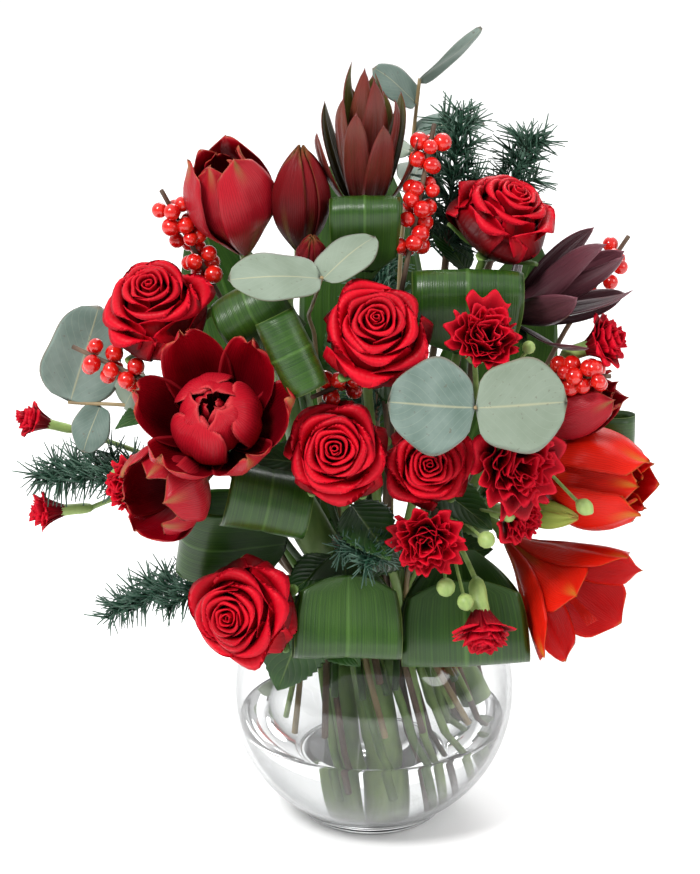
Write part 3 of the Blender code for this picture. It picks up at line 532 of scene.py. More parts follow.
aspidistra_finish = blade_finish("aspidistra leaf", colour(0.008, 0.036, 0.003), colour(0.048, 0.125, 0.010))
rose_leaf_finish = serrated_finish("rose leaf", colour(0.008, 0.040, 0.005), colour(0.030, 0.105, 0.014))
eucalyptus_finish = plate_finish("eucalyptus leaf", colour(0.085, 0.135, 0.110), colour(0.245, 0.310, 0.275))
green_stem_finish = stalk_finish("green stem", colour(0.07, 0.15, 0.025), colour(0.24, 0.36, 0.09))
bark_finish = stalk_finish("twig bark", colour(0.05, 0.028, 0.016), colour(0.19, 0.12, 0.07), 0.55)
tan_stem_finish = stalk_finish("tan stem", colour(0.18, 0.12, 0.05), colour(0.42, 0.33, 0.17))
calyx_finish = stalk_finish("calyx", colour(0.13, 0.22, 0.05), colour(0.34, 0.46, 0.14), 0.4, 160.0)
needle_finish = stalk_finish("fir needle", colour(0.012, 0.055, 0.030), colour(0.16, 0.27, 0.20), 0.35, 130.0)


def berry_finish():
    finish = Finish("ilex berry")
    _, v = finish.surface()
    cloud = finish.noise(finish.place(), 160.0, 2.0)
    body = finish.mix((cloud + finish.tone() * 0.3).step(0.3, 0.9), colour(0.50, 0.003, 0.003),
                      colour(0.78, 0.020, 0.008))
    body = finish.mix(v.step(0.955, 0.97), body, colour(0.02, 0.008, 0.005))
    return finish.paint(body, cloud * 0.12 + 0.12, cloud, 0.0002, 0.25, Coat_Weight=0.4, Coat_Roughness=0.1)


ilex_finish = berry_finish()

# %% [markdown]
# ## Glass and water
# Both are clear, so their colour is nearly white and the light is bent by their IOR. Their transmission and IOR
# are the same all over and sit straight on the shader's sockets; where a surface is seen edge on its colour
# turns grey, a painted shade that draws the dark outline.

# %% Glass and water finishes


def clear_finish(name, tint, edge, bend, from_share=0.62):
    """Clear all over, with painted shade that turns the colour grey where the surface is seen edge on."""
    finish = Finish(name)
    facing = finish.node("ShaderNodeLayerWeight", {}, {"Blend": 0.5}, 1)
    # painted shade: the colour turns grey where the surface is seen edge on, drawing the outline dark
    body = finish.mix(facing.step(from_share, 1.0), tint, edge)
    return finish.paint(body, 0.0, Transmission_Weight=1.0, IOR=bend)


glass_finish = clear_finish("bowl glass", colour(0.985, 0.99, 0.99), colour(0.09, 0.10, 0.11), 1.46, 0.38)
water_finish = clear_finish("bowl water", colour(0.98, 0.99, 0.99), colour(0.50, 0.53, 0.55), 1.333, 0.45)

# %% [markdown]
# ## One petal
# Every petal here follows one rule. A table gives, for shares along the petal, how far out it is, how
# high, and how wide; the petal then wraps round the flower's axis. Roses, amaryllis, carnations and
# leucadendron differ only in their tables.

# %% The petal rule


def head_frame(base, axis, towards=(0.0, 0.3, 1.0)):
    axis = unit(axis)
    side = square_to(axis, towards)
    return np.asarray(base, float), axis, side, np.cross(axis, side)


def petal(head, turn, table, radius, length, wrap=1.0, shoulder=(0.2, 2.5), spiral=0.0, groove=0.0,
          ripple=(0.0, 1.0, 0.0), rows=14, columns=13, serrate=0.0):
    """A grid of points: the table's columns are share, reach, height and half width."""
    base, axis, side, other = head
    marks, reach, height, width = np.array(table, float).T
    fine = np.linspace(0, 1, 80)
    reach, height, width = smoothed(np.column_stack([reach, height, width]), marks, fine).T
    share = np.linspace(0, 1, rows)[:, None] ** 0.85
    across = np.linspace(-1, 1, columns)[None]
    t = share * (1 - shoulder[0] * np.abs(across) ** shoulder[1])
    if serrate:
        t = t * (1 - serrate * (np.arange(columns) % 2)[None])
    out = np.interp(t, fine, reach) * radius
    up = np.interp(t, fine, height) * length
    half = np.maximum(np.interp(t, fine, width) * radius, 0.05)
    bend = np.maximum(np.maximum(out, 0.05 * radius) * wrap, half / 2.6)
    angle = across * half / bend
    wave = ripple[0] * np.sin(across * math.pi * ripple[1] + ripple[2]) * t**2
    out = out * (1 + spiral * across) - bend * (1 - np.cos(angle)) + wave
    out = out - groove * np.exp(-(across / 0.16) ** 2) * np.sin(math.pi * np.clip(t, 0, 1))
    sideways = bend * np.sin(angle)
    up = up + wave * 0.35
    outward = math.cos(turn) * side + math.sin(turn) * other
    sideward = -math.sin(turn) * side + math.cos(turn) * other
    return base + axis * up[..., None] + outward * out[..., None] + sideward * sideways[..., None]


# %% [markdown]
# ## Roses
# A rose is a spiral: each petal stands a golden turn on from the last, a little further out, and its
# lip rolls outwards. Modelling thirty petals one by one would never look as even. A rule that goes
# from the tight bud in the middle to the reflexed guard petals makes them all.

# %% The outline of a rose petal


def rose_table(out):
    """The outline of a rose petal, from the bud in the middle, 0, to the guard petals, 1."""
    rim = 0.03 + 0.80 * out**1.15
    belly = 0.12 + 0.82 * out**0.7
    top = 0.94 - 0.02 * out - 0.36 * out**2.4
    lip = 0.02 + 0.30 * out**1.3
    wide = math.radians(122 - 56 * out**0.5)
    waist = max(rim, 0.06)
    return [(0, 0.10, 0.0, 0.1), (0.22, belly * 0.62, 0.13, belly * 0.5 * wide),
            (0.52, belly, 0.42 - 0.08 * out, belly * 0.85 * wide),
            (0.82, rim * 0.92 + 0.02, top - 0.05 - 0.05 * out, waist * wide),
            (0.93, rim + lip * 0.42, top, (waist + lip * 0.3) * wide * 0.96),
            (1.0, rim + lip, top - lip * 0.26, (waist + lip * 0.6) * wide * 0.9)]


def grow_rose(shape, base, axis, radius, length, seed, petals=24):
    rng = np.random.default_rng(seed)
    head = head_frame(base, axis)
    turn = rng.uniform(0, 6.28)
    for k in range(petals):
        out = k / (petals - 1)
        turn += GOLDEN_TURN + rng.normal(0, 0.22)
        size = radius * (1 + rng.normal(0, 0.05) * out)
        pointed = (0.08 + 0.20 * out, 2.6 - 1.0 * out)
        grid = petal(head, turn, rose_table(out), size, length * (1 + rng.normal(0, 0.016)),
                     wrap=1.0 + 0.45 * out, shoulder=pointed, spiral=0.13 * (1 - out) + 0.04,
                     ripple=(0.3 + 1.3 * out, 1.0 + rng.uniform(0, 1.0), rng.uniform(0, 6.28)),
                     rows=18, columns=17)
        shape.sheet(grid, 0.7, rng.uniform(0.1, 0.9))


def grow_sepals(shape, base, axis, radius, length, rng):
    """Five narrow green sepals and the round hip below a rose."""
    head = head_frame(base, axis)
    table = [(0, 0.12, 0.0, 0.10), (0.4, 0.62, 0.10, 0.14), (0.75, 0.98, 0.22, 0.09), (1, 1.04, 0.20, 0.01)]
    for k in range(5):
        turn = k * 1.257 + rng.uniform(-0.2, 0.2)
        grid = petal(head, turn, table, radius, length, 2.0, (0.1, 2.0), rows=9, columns=5)
        shape.sheet(grid, 0.8, rng.uniform(0.2, 0.8))
    path = base + np.outer(np.linspace(-0.14, 0.05, 6) * length, unit(axis))
    shape.tube(path, np.array([0.09, 0.14, 0.19, 0.20, 0.17, 0.10]) * radius, 12)


# %% Leaves on the rose stems


def rose_leaf(shape, start, growing, facing, length, width, rng):
    """A pointed leaf with a toothed rim, folded a little along its midrib."""
    growing = unit(growing)
    side = np.cross(unit(facing), growing)
    side = unit(side - growing * (side @ growing))
    normal = np.cross(growing, side)
    v = np.linspace(0, 1, 31)[:, None]
    u = np.linspace(-1, 1, 15)[None]
    outline = np.clip(np.sin(math.pi * v**0.78), 0, 1) ** 0.85
    teeth = np.where(np.abs(u) > 0.9, 1 - 0.09 * (np.arange(31) % 2)[:, None], 1.0)
    half = np.maximum(outline * width / 2, 0.25)
    wave = 0.4 * np.sin(v * 14 + u * 2 + rng.uniform(0, 6)) * np.abs(u)
    lift = 0.20 * half * np.abs(u) - 0.10 * length * v**2 + wave
    grid = (start + growing * (v * length)[..., None] + side * (half * u * teeth)[..., None]
            + normal * lift[..., None])
    shape.sheet(grid, 0.6, rng.uniform(0.1, 0.9))


def leaves_along(shape, stalks, stem, rng, first=20.0, spacing=24.0, count=4):
    """Leaves that leave a stem one by one below its flower, turned outwards from the bouquet."""
    below = np.concatenate([[0], np.cumsum(np.linalg.norm(np.diff(stem[::-1], axis=0), axis=1))])
    turn = rng.uniform(0, 6.28)
    for k in range(count):
        place = int(np.searchsorted(below, first + spacing * k))
        place = len(stem) - 1 - min(place, len(stem) - 3)
        tangent = unit(stem[place + 1] - stem[place - 1]) if place + 1 < len(stem) else unit(stem[-1] - stem[-2])
        outward = unit(stem[place] * (1, 1, 0) + (0, 0, 1e-3))
        side = square_to(tangent, outward)
        turn += GOLDEN_TURN
        way = unit(side * (0.5 + math.cos(turn)) + np.cross(tangent, side) * math.sin(turn) + tangent * 0.5
                   + np.array([0, 0.35, 0]))
        start = stem[place] + way * 10
        stalks.tube(np.linspace(stem[place], start, 4), 0.9, 6)
        facing = tangent * 0.6 + outward * 0.5 + (0, 0, 0.3)
        rose_leaf(shape, start, way, facing, rng.uniform(38, 50), rng.uniform(26, 34), rng)


# Leaves that hang in front of the bowl's rim: where each starts, the way it grows, its length and width.
HANGING = [((-36, -86, 165), (-0.36, -0.14, -0.92), 52, 40), ((-24, -90, 162), (0.62, -0.22, -0.72), 30, 24)]

# %% Grow the roses
ROSES = ["left", "top", "middle", "low", "bottom", "right"]
for seed, place in enumerate(ROSES):
    node = f"rose_{place}_bloom"
    stem = middles_of(rings_of(f"rose_{place}_stem", 6))
    rings = rings_of(node, 12, stem[-1])
    middles, size = middles_of(rings), radii_of(rings).max()
    axis = unit(middles[-1] - middles[0])
    length = np.linalg.norm(middles[-1] - middles[0])
    petals, green = Shape(), Shape()
    grow_rose(petals, middles[0], axis, size, length, 10 + seed)
    grow_sepals(green, middles[0], axis, size, length, np.random.default_rng(seed))
    path, _ = resampled(np.vstack([stem, middles[0]]), 6.0)
    green.tube(path, 2.6, 10, 0.2 + 0.6 * (seed % 2))
    show(f"rose_{place}_petals", petals.mesh(f"rose_{place}_petals"), rose_finish, "rose_petal", node)
    leaves, rng = Shape(), np.random.default_rng(20 + seed)
    leaves_along(leaves, green, path, rng)
    if place == "bottom":
        for start, growing, long, wide in HANGING:
            nearest = path[np.argmin(np.linalg.norm(path - start, axis=1))]
            green.tube(np.linspace(nearest, start, 5), 0.9, 6)
            rose_leaf(leaves, np.array(start), growing, (-0.1, -1.0, 0.25), long, wide, rng)
    show(f"rose_{place}_leaves", leaves.mesh(f"rose_{place}_leaves"), rose_leaf_finish, "green_stem",
         f"rose_{place}_stem")
    show(f"rose_{place}_greens", green.mesh(f"rose_{place}_greens"), green_stem_finish, "green_stem",
         f"rose_{place}_stem", node)

# %% [markdown]
# ## Amaryllis
# An amaryllis has two rings of three tepals that leave a narrow throat and flare out. The open, the
# half-open and the bud differ only in how far they flare. The largest bloom here is a double one, with
# more rings of smaller tepals that fill its cup.

# %% Grow the amaryllis

OPEN_TEPAL = [(0, 0.10, 0.0, 0.08), (0.2, 0.26, 0.18, 0.24), (0.45, 0.58, 0.42, 0.50), (0.72, 0.92, 0.70, 0.58),
              (0.9, 1.08, 0.86, 0.38), (1, 1.16, 0.93, 0.02)]
CUP_TEPAL = [(0, 0.12, 0.0, 0.09), (0.25, 0.24, 0.20, 0.24), (0.5, 0.74, 0.44, 0.62), (0.75, 0.98, 0.72, 0.66),
             (0.9, 0.80, 0.92, 0.40), (1, 0.66, 1.02, 0.03)]
TULIP_TEPAL = [(0, 0.14, 0.0, 0.12), (0.25, 0.50, 0.20, 0.46), (0.5, 0.92, 0.46, 0.78), (0.75, 0.86, 0.74, 0.70),
               (0.92, 0.62, 0.94, 0.36), (1, 0.60, 1.02, 0.03)]
BUD_TEPAL = [(0, 0.22, 0.0, 0.18), (0.25, 0.82, 0.26, 0.66), (0.5, 1.0, 0.52, 0.80), (0.78, 0.66, 0.80, 0.50),
             (1, 0.06, 1.02, 0.02)]
DOUBLE_OUTER = [(0, 0.10, 0.0, 0.08), (0.25, 0.32, 0.20, 0.32), (0.5, 0.78, 0.42, 0.54), (0.75, 1.08, 0.68, 0.54),
                (0.92, 1.14, 0.88, 0.28), (1, 1.10, 0.97, 0.02)]
DOUBLE_INNER = [(0, 0.08, 0.1, 0.06), (0.3, 0.26, 0.36, 0.20), (0.6, 0.46, 0.64, 0.34), (0.85, 0.40, 0.88, 0.30),
                (1, 0.22, 0.98, 0.04)]
HEART_TEPAL = [(0, 0.08, 0.1, 0.06), (0.3, 0.36, 0.34, 0.30), (0.58, 0.60, 0.62, 0.47), (0.84, 0.46, 0.88, 0.42),
               (1, 0.17, 0.98, 0.06)]
# Each ring of tepals: how many, their table, how large, how long, and how much each is turned.
WHORLS = {
    "open": [(3, OPEN_TEPAL, 1.0, 1.0, 0.0), (3, OPEN_TEPAL, 0.90, 0.96, math.pi / 3)],
    "cup": [(3, CUP_TEPAL, 1.0, 1.0, 0.0), (3, CUP_TEPAL, 0.86, 0.95, math.pi / 3)],
    "tulip": [(3, TULIP_TEPAL, 1.05, 1.0, 0.0), (3, TULIP_TEPAL, 0.84, 0.97, math.pi / 3),
              (3, DOUBLE_INNER, 1.1, 0.95, 0.5)],
    "bud": [(3, BUD_TEPAL, 1.0, 1.0, 0.0), (3, BUD_TEPAL, 0.92, 0.98, math.pi / 3)],
    "double": [(3, DOUBLE_OUTER, 0.90, 1.0, 0.2), (3, DOUBLE_OUTER, 0.84, 0.98, 1.25)],
    "heart": [(3, HEART_TEPAL, 1.0, 0.84, 2.3), (3, HEART_TEPAL, 0.74, 0.88, 1.5),
              (2, HEART_TEPAL, 0.50, 0.88, 0.4), (2, HEART_TEPAL, 0.30, 0.86, 1.6)],
}
# How closely the tepals wrap round the axis, and how much their edges wave, where it isn't the usual.
WRAPS = {"bud": 1.05, "double": 0.62, "heart": 0.9}
RIPPLES = {"double": 2.0, "heart": 0.7}
# How far a double bloom's heavy cup looks up from its stalk.
LIFT = 0.35
# Each bloom: its form, its finish, and how it is turned about its own axis.
BLOOMS = {
    "amaryllis_left": {"bloom_main": ("double", wine_finish, 0.3), "bloom_lower": ("cup", wine_finish, 0.6)},
    "amaryllis_top": {"bloom_half_open": ("tulip", wine_finish, 0.0), "bud_large": ("bud", bud_finish, 0.4),
                      "bud_small": ("bud", bud_finish, 0.0)},
    "amaryllis_right": {"bloom_upper": ("tulip", scarlet_finish, 0.5),
                        "bloom_lower": ("open", scarlet_finish, 0.2),
                        "bud_green": ("bud", green_bud_finish, 0.0)},
    "amaryllis_dark": {"bloom_dark": ("tulip", wine_finish, 0.0)},
}


def grow_amaryllis(shape, base, axis, radius, length, form, turned, rng):
    head = head_frame(base, axis)
    for count, table, size, tall, offset in WHORLS[form]:
        for k in range(count):
            turn = turned + offset + k * 2 * math.pi / count + rng.normal(0, 0.06)
            grid = petal(head, turn, table, radius * size * (1 + rng.normal(0, 0.03)), length * tall,
                         wrap=WRAPS.get(form, 1.25), shoulder=(0.12, 2.0), groove=1.6 * radius / 38,
                         ripple=(RIPPLES.get(form, 0.9), 1.6 + rng.uniform(0, 0.8), rng.uniform(0, 6.28)),
                         rows=22, columns=17)
            shape.sheet(grid, 0.9, rng.uniform(0.15, 0.85))


def grow_stamens(shape, base, axis, length, rng):
    """Six filaments that curve up from the throat."""
    side = square_to(unit(axis), (0, 0, -1))
    for k in range(6):
        lean = side * 7 + np.cross(axis, side) * (k - 2.5) * 1.8
        path = (base + np.outer(np.linspace(0.15, 0.92, 9) * length, axis)
                + np.outer(np.linspace(0, 1, 9) ** 2, lean))
        shape.tube(path, 0.5, 6, rng.uniform(0.3, 0.9))


for number, (plant, blooms) in enumerate(BLOOMS.items()):
    stem_rings = rings_of(plant + "_stem", 9)
    stem = middles_of(stem_rings)
    green = Shape()
    path, _ = resampled(stem, 6.0)
    green.tube(path, radii_of(stem_rings).mean() * 0.97, 20)
    for bloom, (form, finish, turned) in blooms.items():
        node = f"{plant}_{bloom}"
        rings = rings_of(node, 12, stem[-1])
        middles, sizes = middles_of(rings), radii_of(rings)
        base, length = middles[3], np.linalg.norm(middles[3:] - middles[3], axis=1).max()
        axis = unit(middles[5] - middles[3])
        if form == "double":
            base, axis = base - (0, 0, LIFT * length * 0.5), unit(axis + (0, 0, LIFT))
        petals = Shape()
        rng = np.random.default_rng(40 + number)
        grow_amaryllis(petals, base, axis, sizes[3:].max(), length, form, turned, rng)
        if form == "open":
            grow_stamens(petals, base, axis, length, rng)
        if form == "double":
            heart = Shape()
            grow_amaryllis(heart, base, axis, sizes[3:].max(), length, "heart", turned, rng)
            show(node + "_heart", heart.mesh(node + "_heart"), heart_finish, "amaryllis_wine", node)
        stalk, thickness = resampled(np.vstack([stem[-1:], middles[:3], base + axis * 3]), 3.0)
        green.tube(stalk, sizes[0], 12, 0.7)
        show(node + "_petals", petals.mesh(node + "_petals"), finish,
             "amaryllis_scarlet" if plant == "amaryllis_right" else "amaryllis_wine", node)
    show(plant + "_greens", green.mesh(plant + "_greens"), green_stem_finish, "green_stem", plant + "_stem")

# %% [markdown]
# ## Leucadendron
# A cone of pointed bracts, the inner ones closed and the outer ones leaning away. It is the petal rule
# again with a narrow table, and the heads differ in how far their bracts spread.

# %% Grow the leucadendrons


def grow_leucadendron(shape, base, axis, radius, length, spread, broad, count, rng):
    """Long pointed bracts that all start near the base: the inner ones close like a flame."""
    head = head_frame(base, axis)
    turn = 0.4
    for k in range(count):
        out = k / (count - 1)
        turn += GOLDEN_TURN + rng.normal(0, 0.1)
        tall = (1.04 - 0.42 * out**1.5) * (1 + rng.normal(0, 0.05))
        tip = 0.05 + spread * out**0.8
        table = [(0, 0.10, 0.0, 0.10), (0.25, 0.22 + 0.30 * out, tall * 0.22, (0.30 - 0.08 * out) * broad),
                 (0.55, 0.30 + (spread * 0.55) * out, tall * 0.54, (0.36 - 0.10 * out) * broad),
                 (0.85, 0.16 + tip * 0.82, tall * 0.86, 0.17 * broad), (1, tip, tall, 0.012)]
        grid = petal(head, turn, table, radius, length, 1.2, (0.06, 2.0), groove=1.2, rows=20, columns=11)
        shape.sheet(grid, 1.0, rng.uniform(0.0, 1.0))


# How many of a head's last rings are its bracts, and for each head how far its bracts spread, how broad
# they are, how many there are and their finish.
HEAD_RINGS = 7
LEUCADENDRONS = {"leucadendron_top": (1.0, 1.0, 15, bract_finish),
                 "leucadendron_right": (1.5, 1.25, 9, plum_finish)}
for node, (spread, broad, count, finish) in LEUCADENDRONS.items():
    rings = rings_of(node, 12)
    stem, head = middles_of(rings[:-HEAD_RINGS]), middles_of(rings[-HEAD_RINGS:])
    axis = unit(head[1] - head[0])
    length = np.linalg.norm(head - head[0], axis=1).max()
    bracts = Shape()
    grow_leucadendron(bracts, head[0], axis, radii_of(rings[-HEAD_RINGS:]).max(), length, spread, broad, count,
                      np.random.default_rng(7))
    stalk = Shape()
    path, _ = resampled(np.vstack([stem, head[:1]]), 6.0)
    stalk.tube(path, 3.2, 12)
    show(node + "_bracts", bracts.mesh(node + "_bracts"), finish, "leucadendron_bract", node)
    show(node + "_stalk", stalk.mesh(node + "_stalk"), bark_finish, "leucadendron_bract", node)

# %% [markdown]
# ## Aspidistra leaves
# Each long leaf is bent back on itself into a smooth fold. The frame's rings give its path, the way it
# lies and its width, so the leaf is one grid along that path, with a shallow trough across it and a
# slow wave along its rims.

# %% Lay the leaves along their rings


def lay_blade(shape, rings, trough, rng):
    middles = middles_of(rings)
    across = []
    for ring in rings:
        far = ring - ring.mean(axis=0)
        longest = far[np.argmax(np.linalg.norm(far, axis=1))]
        across.append(longest if not across or longest @ across[-1] >= 0 else -longest)
    path, sides = resampled(middles, 1.8, np.array(across))
    share = np.linspace(0, 1, len(path))
    width = np.linalg.norm(sides, axis=1)
    sides = sides / width[:, None]
    tangent = np.gradient(path, axis=0)
    tangent /= np.linalg.norm(tangent, axis=1)[:, None]
    normal = np.cross(tangent, sides)
    width = np.maximum(width, 1.5)
    width[-6:] *= np.sqrt(np.linspace(1, 0.05, 6))
    u = np.linspace(-1, 1, 19)
    phase = rng.uniform(0, 6.28)
    rim_wave = 0.8 * np.sin(share[:, None] * 17 + phase + 2 * u[None]) * np.abs(u)[None]**3
    sag = trough * (u**2)[None] * width[:, None] + rim_wave
    sag = sag - 0.5 * np.exp(-(u / 0.08) ** 2)[None]
    grid = (path[:, None] + sides[:, None] * (width[:, None] * u[None])[..., None]
            + normal[:, None] * sag[..., None])
    shape.sheet(grid, 0.9, rng.uniform(0.2, 0.8))


FOLDED = ["leaf_fold_top", "leaf_fold_upper_right", "leaf_roll_upper_left", "leaf_roll_centre", "leaf_loop_left",
          "leaf_dark_left", "leaf_fold_bottom", "leaf_fold_bottom_right", "leaf_fold_right"]
BACKING = ["leaf_back_left", "leaf_back_centre", "leaf_back_right"]
for number, node in enumerate(FOLDED + BACKING):
    rings = rings_of(node, 4)
    head_rings = 12 if node in FOLDED else 9
    rng = np.random.default_rng(70 + number)
    blade = Shape()
    lay_blade(blade, rings[-head_rings:], 0.03 if node in FOLDED else 0.12, rng)
    stem = middles_of(rings[:-head_rings + 1])
    path, _ = resampled(stem, 6.0)
    blade.tube(path, 2.1, 9)
    show(node + "_blade", blade.mesh(node + "_blade"), aspidistra_finish, "aspidistra_leaf", node)

# %% [markdown]
# ## Eucalyptus
# Round grey leaves, each a thin plate with a soft fold along its midrib. The frame has each sprig as
# one grown solid. Its lower stem still has whole rings, and the last of them is where the leafy end
# starts, so that end and its leaves are set out from there.

# %% Hang the round leaves


def plate_leaf(shape, start, growing, facing, length, width, rng):
    growing = unit(growing)
    side = np.cross(unit(facing), growing)
    side = unit(side - growing * (side @ growing))
    normal = np.cross(growing, side)
    v = np.linspace(0, 1, 22)[:, None]
    u = np.linspace(-1, 1, 19)[None]
    uneven = 0.94 + 0.06 * np.sin(v * 9 + rng.uniform(0, 6))
    outline = np.sqrt(np.clip(1 - (2 * v**0.85 - 1) ** 2, 0, 1)) * uneven
    half = np.maximum(outline * width / 2, 0.3)
    lift = 0.10 * half * np.abs(u) ** 1.4 + 0.9 * np.sin(u * 2.5 + v * 5 + rng.uniform(0, 6)) - 3.0 * v * v
    grid = (start + growing * (v * length)[..., None] + side * (half * u)[..., None] + normal * lift[..., None])
    shape.sheet(grid, 0.8, rng.uniform(0.1, 0.9))


# Each sprig: how far its tip stands from the foot of its leafy end, then its leaves, each with its
# distance from the tip, the way it grows, the way it faces, its length and its width.
SPRIGS = {
    "eucalyptus_top": ((8, -6, 81), [
        (2, (0.75, 0.0, 0.6), (0.4, -0.6, -0.5), 46, 15),
        (14, (-0.6, -0.3, 0.6), (0.3, -0.7, 0.5), 34, 22),
        (30, (0.9, -0.1, 0.15), (0.1, -0.5, 0.9), 40, 22),
        (44, (-0.8, 0.3, 0.2), (0.2, -0.4, 0.9), 36, 22),
        (62, (0.3, 0.9, 0.2), (0.1, -0.2, 1.0), 38, 24)]),
    "eucalyptus_centre": ((6, -32, 26), [
        (1, (-1.0, -0.25, 0.1), (0.1, -0.6, 0.8), 50, 34),
        (3, (0.7, 0.5, 0.5), (0.0, -0.5, 0.9), 40, 28)]),
    "eucalyptus_pair": ((4, -38, 8), [
        (1, (-1.0, 0.0, 0.05), (0.05, -1.0, 0.1), 46, 54),
        (1, (1.0, 0.15, 0.0), (0.12, -1.0, 0.15), 50, 54)]),
    "eucalyptus_left": ((-46, 2, 4), [
        (1, (0.3, 0.05, 0.93), (0.15, -0.95, 0.2), 58, 48),
        (18, (-0.35, -0.4, -0.85), (-0.2, -0.9, 0.3), 28, 24),
        (32, (0.3, -0.45, 0.8), (-0.4, -0.8, 0.3), 30, 24)]),
}
for number, (node, (reach, leaves)) in enumerate(SPRIGS.items()):
    stem = middles_of(rings_of(node, 5))
    along = stem[-1]
    tip = along + reach
    stem = stem[stem[:, 2] < along[2] - 4]
    path, _ = resampled(np.vstack([stem, along, tip]), 4.0)
    sprig, twig = Shape(), Shape()
    rng = np.random.default_rng(90 + number)
    for distance, growing, facing, length, width in leaves:
        plate_leaf(sprig, tip + unit(along - tip) * distance, growing, facing, length, width, rng)
    twig.tube(path, np.linspace(1.9, 1.0, len(path)), 8)
    show(node + "_leaves", sprig.mesh(node + "_leaves"), eucalyptus_finish, "eucalyptus_leaf", node)
    show(node + "_twig", twig.mesh(node + "_twig"), tan_stem_finish, "eucalyptus_leaf", node)

# %% [markdown]
# ## Carnations
# A carnation is a green tube that bursts into many ruffled petals with toothed rims. In the frame the
# flat face of each flower says where it is and which way it looks.

# %% Grow the carnations


def flower_faces(node, sides=6):
    """The middle, facing and radius of each flower's flat face."""
    points, faces = welded(node)
    for corners, triangles, normal in flat_faces(points, faces):
        ring = points[sorted(corners)]
        middle = ring.mean(axis=0)
        reach = np.linalg.norm(ring - middle, axis=1)
        whole = len(corners) == sides and triangles == sides - 2
        if whole and reach.max() > 4 and reach.min() > 0.85 * reach.max():
            yield middle, normal, reach.max() / 0.72


def carnation_table(out):
    """The outline of a carnation petal, from the middle of the flower, 0, to its rim, 1."""
    return [(0, 0.10, 0.10, 0.06), (0.3, 0.20 + 0.08 * out, 0.40, 0.18),
            (0.6, 0.16 + 0.56 * out, 0.74 - 0.06 * out, 0.42),
            (0.85, 0.16 + 0.92 * out, 0.98 - 0.20 * out, 0.60),
            (1, 0.18 + 1.02 * out, 1.05 - 0.34 * out**2, 0.62)]


def grow_carnation(shape, base, axis, radius, length, rng, petals=26):
    head = head_frame(base, axis)
    turn = rng.uniform(0, 6.28)
    for k in range(petals):
        out = (k + 0.5) / petals
        turn += GOLDEN_TURN + rng.normal(0, 0.15)
        ripple = (0.10 * radius + 0.7, 1.3 + rng.uniform(0, 1.5), rng.uniform(0, 6.28))
        grid = petal(head, turn, carnation_table(out), radius * (1 + rng.normal(0, 0.09)),
                     length * (1 + rng.normal(0, 0.05)), 1.2, (0.10, 3.0), ripple=ripple, rows=12, columns=35,
                     serrate=0.016)
        shape.sheet(grid, 0.5, rng.uniform(0.1, 0.9))


def grow_bud(shape, fork, way, size):
    """A green bud on its own short stalk."""
    way = np.asarray(way, float)
    tip = fork + way
    middle = (fork + tip) / 2 + (0, 0, 0.08 * np.linalg.norm(way))
    stalk, _ = resampled(np.array([fork, middle, tip]), 3.0)
    shape.tube(stalk, 1.0, 7, 0.5)
    shape.tube(tip + np.outer(np.linspace(-0.2, 2.2, 9) * size, unit(way)),
               size * np.array([0.35, 0.62, 0.86, 0.98, 1.0, 0.94, 0.78, 0.52, 0.2]), 12, 0.9)


# Buds beside the flowers: which way and how far each stands from the fork of its spray, and how thick.
BUDS = {"carnation_centre": [((22, -52, 8), 4.8), ((2, -50, -18), 5.2), ((12, -52, -26), 4.6),
                             ((34, -44, 18), 3.8)],
        "carnation_right": [((50, -44, -26), 4.6), ((20, -44, 60), 3.6)],
        "carnation_left": [((-28, -30, 6), 3.6)]}
for number, node in enumerate(["carnation_left", "carnation_centre", "carnation_right"]):
    stem = middles_of(rings_of(node, 5))
    fork = stem[-1]
    petals, green = Shape(), Shape()
    rng = np.random.default_rng(120 + number)
    for middle, facing, radius in flower_faces(node):
        length = 30 + (radius - 8) * 0.8
        base = middle - facing * length * 0.96
        grow_carnation(petals, base, facing, radius, length, rng)
        tube = base + np.outer(np.linspace(-0.12, 0.52, 9) * length, facing)
        green.tube(tube, radius * 0.34 * np.array([0.3, 0.8, 0.95, 1, 1, 1, 1.02, 1.08, 1.1]), 14, 0.8)
        branch, _ = resampled(np.vstack([fork, fork * 0.45 + base * 0.55 - facing * 6, base - facing * 2]), 4.0)
        green.tube(branch, 1.5, 8, 0.5)
    for way, size in BUDS[node]:
        grow_bud(green, fork, way, size)
    path, _ = resampled(stem, 6.0)
    green.tube(path, 1.7, 8, 0.4)
    show(node + "_petals", petals.mesh(node + "_petals"), carnation_finish, "carnation_petal", node)
    show(node + "_greens", green.mesh(node + "_greens"), calyx_finish, "carnation_petal", node)

# %% [markdown]
# ## Fir and berries with Geometry Nodes
# Needles and berries repeat hundreds of times, which is what Geometry Nodes are for. The first tree
# reads a twig as a curve, sets points along it and puts a tapered needle on each, tilted away from the
# twig and turned by a random amount. The second puts berries on marked points. Both end by making the
# copies real and giving them a finish.

# %% Tools for geometry trees


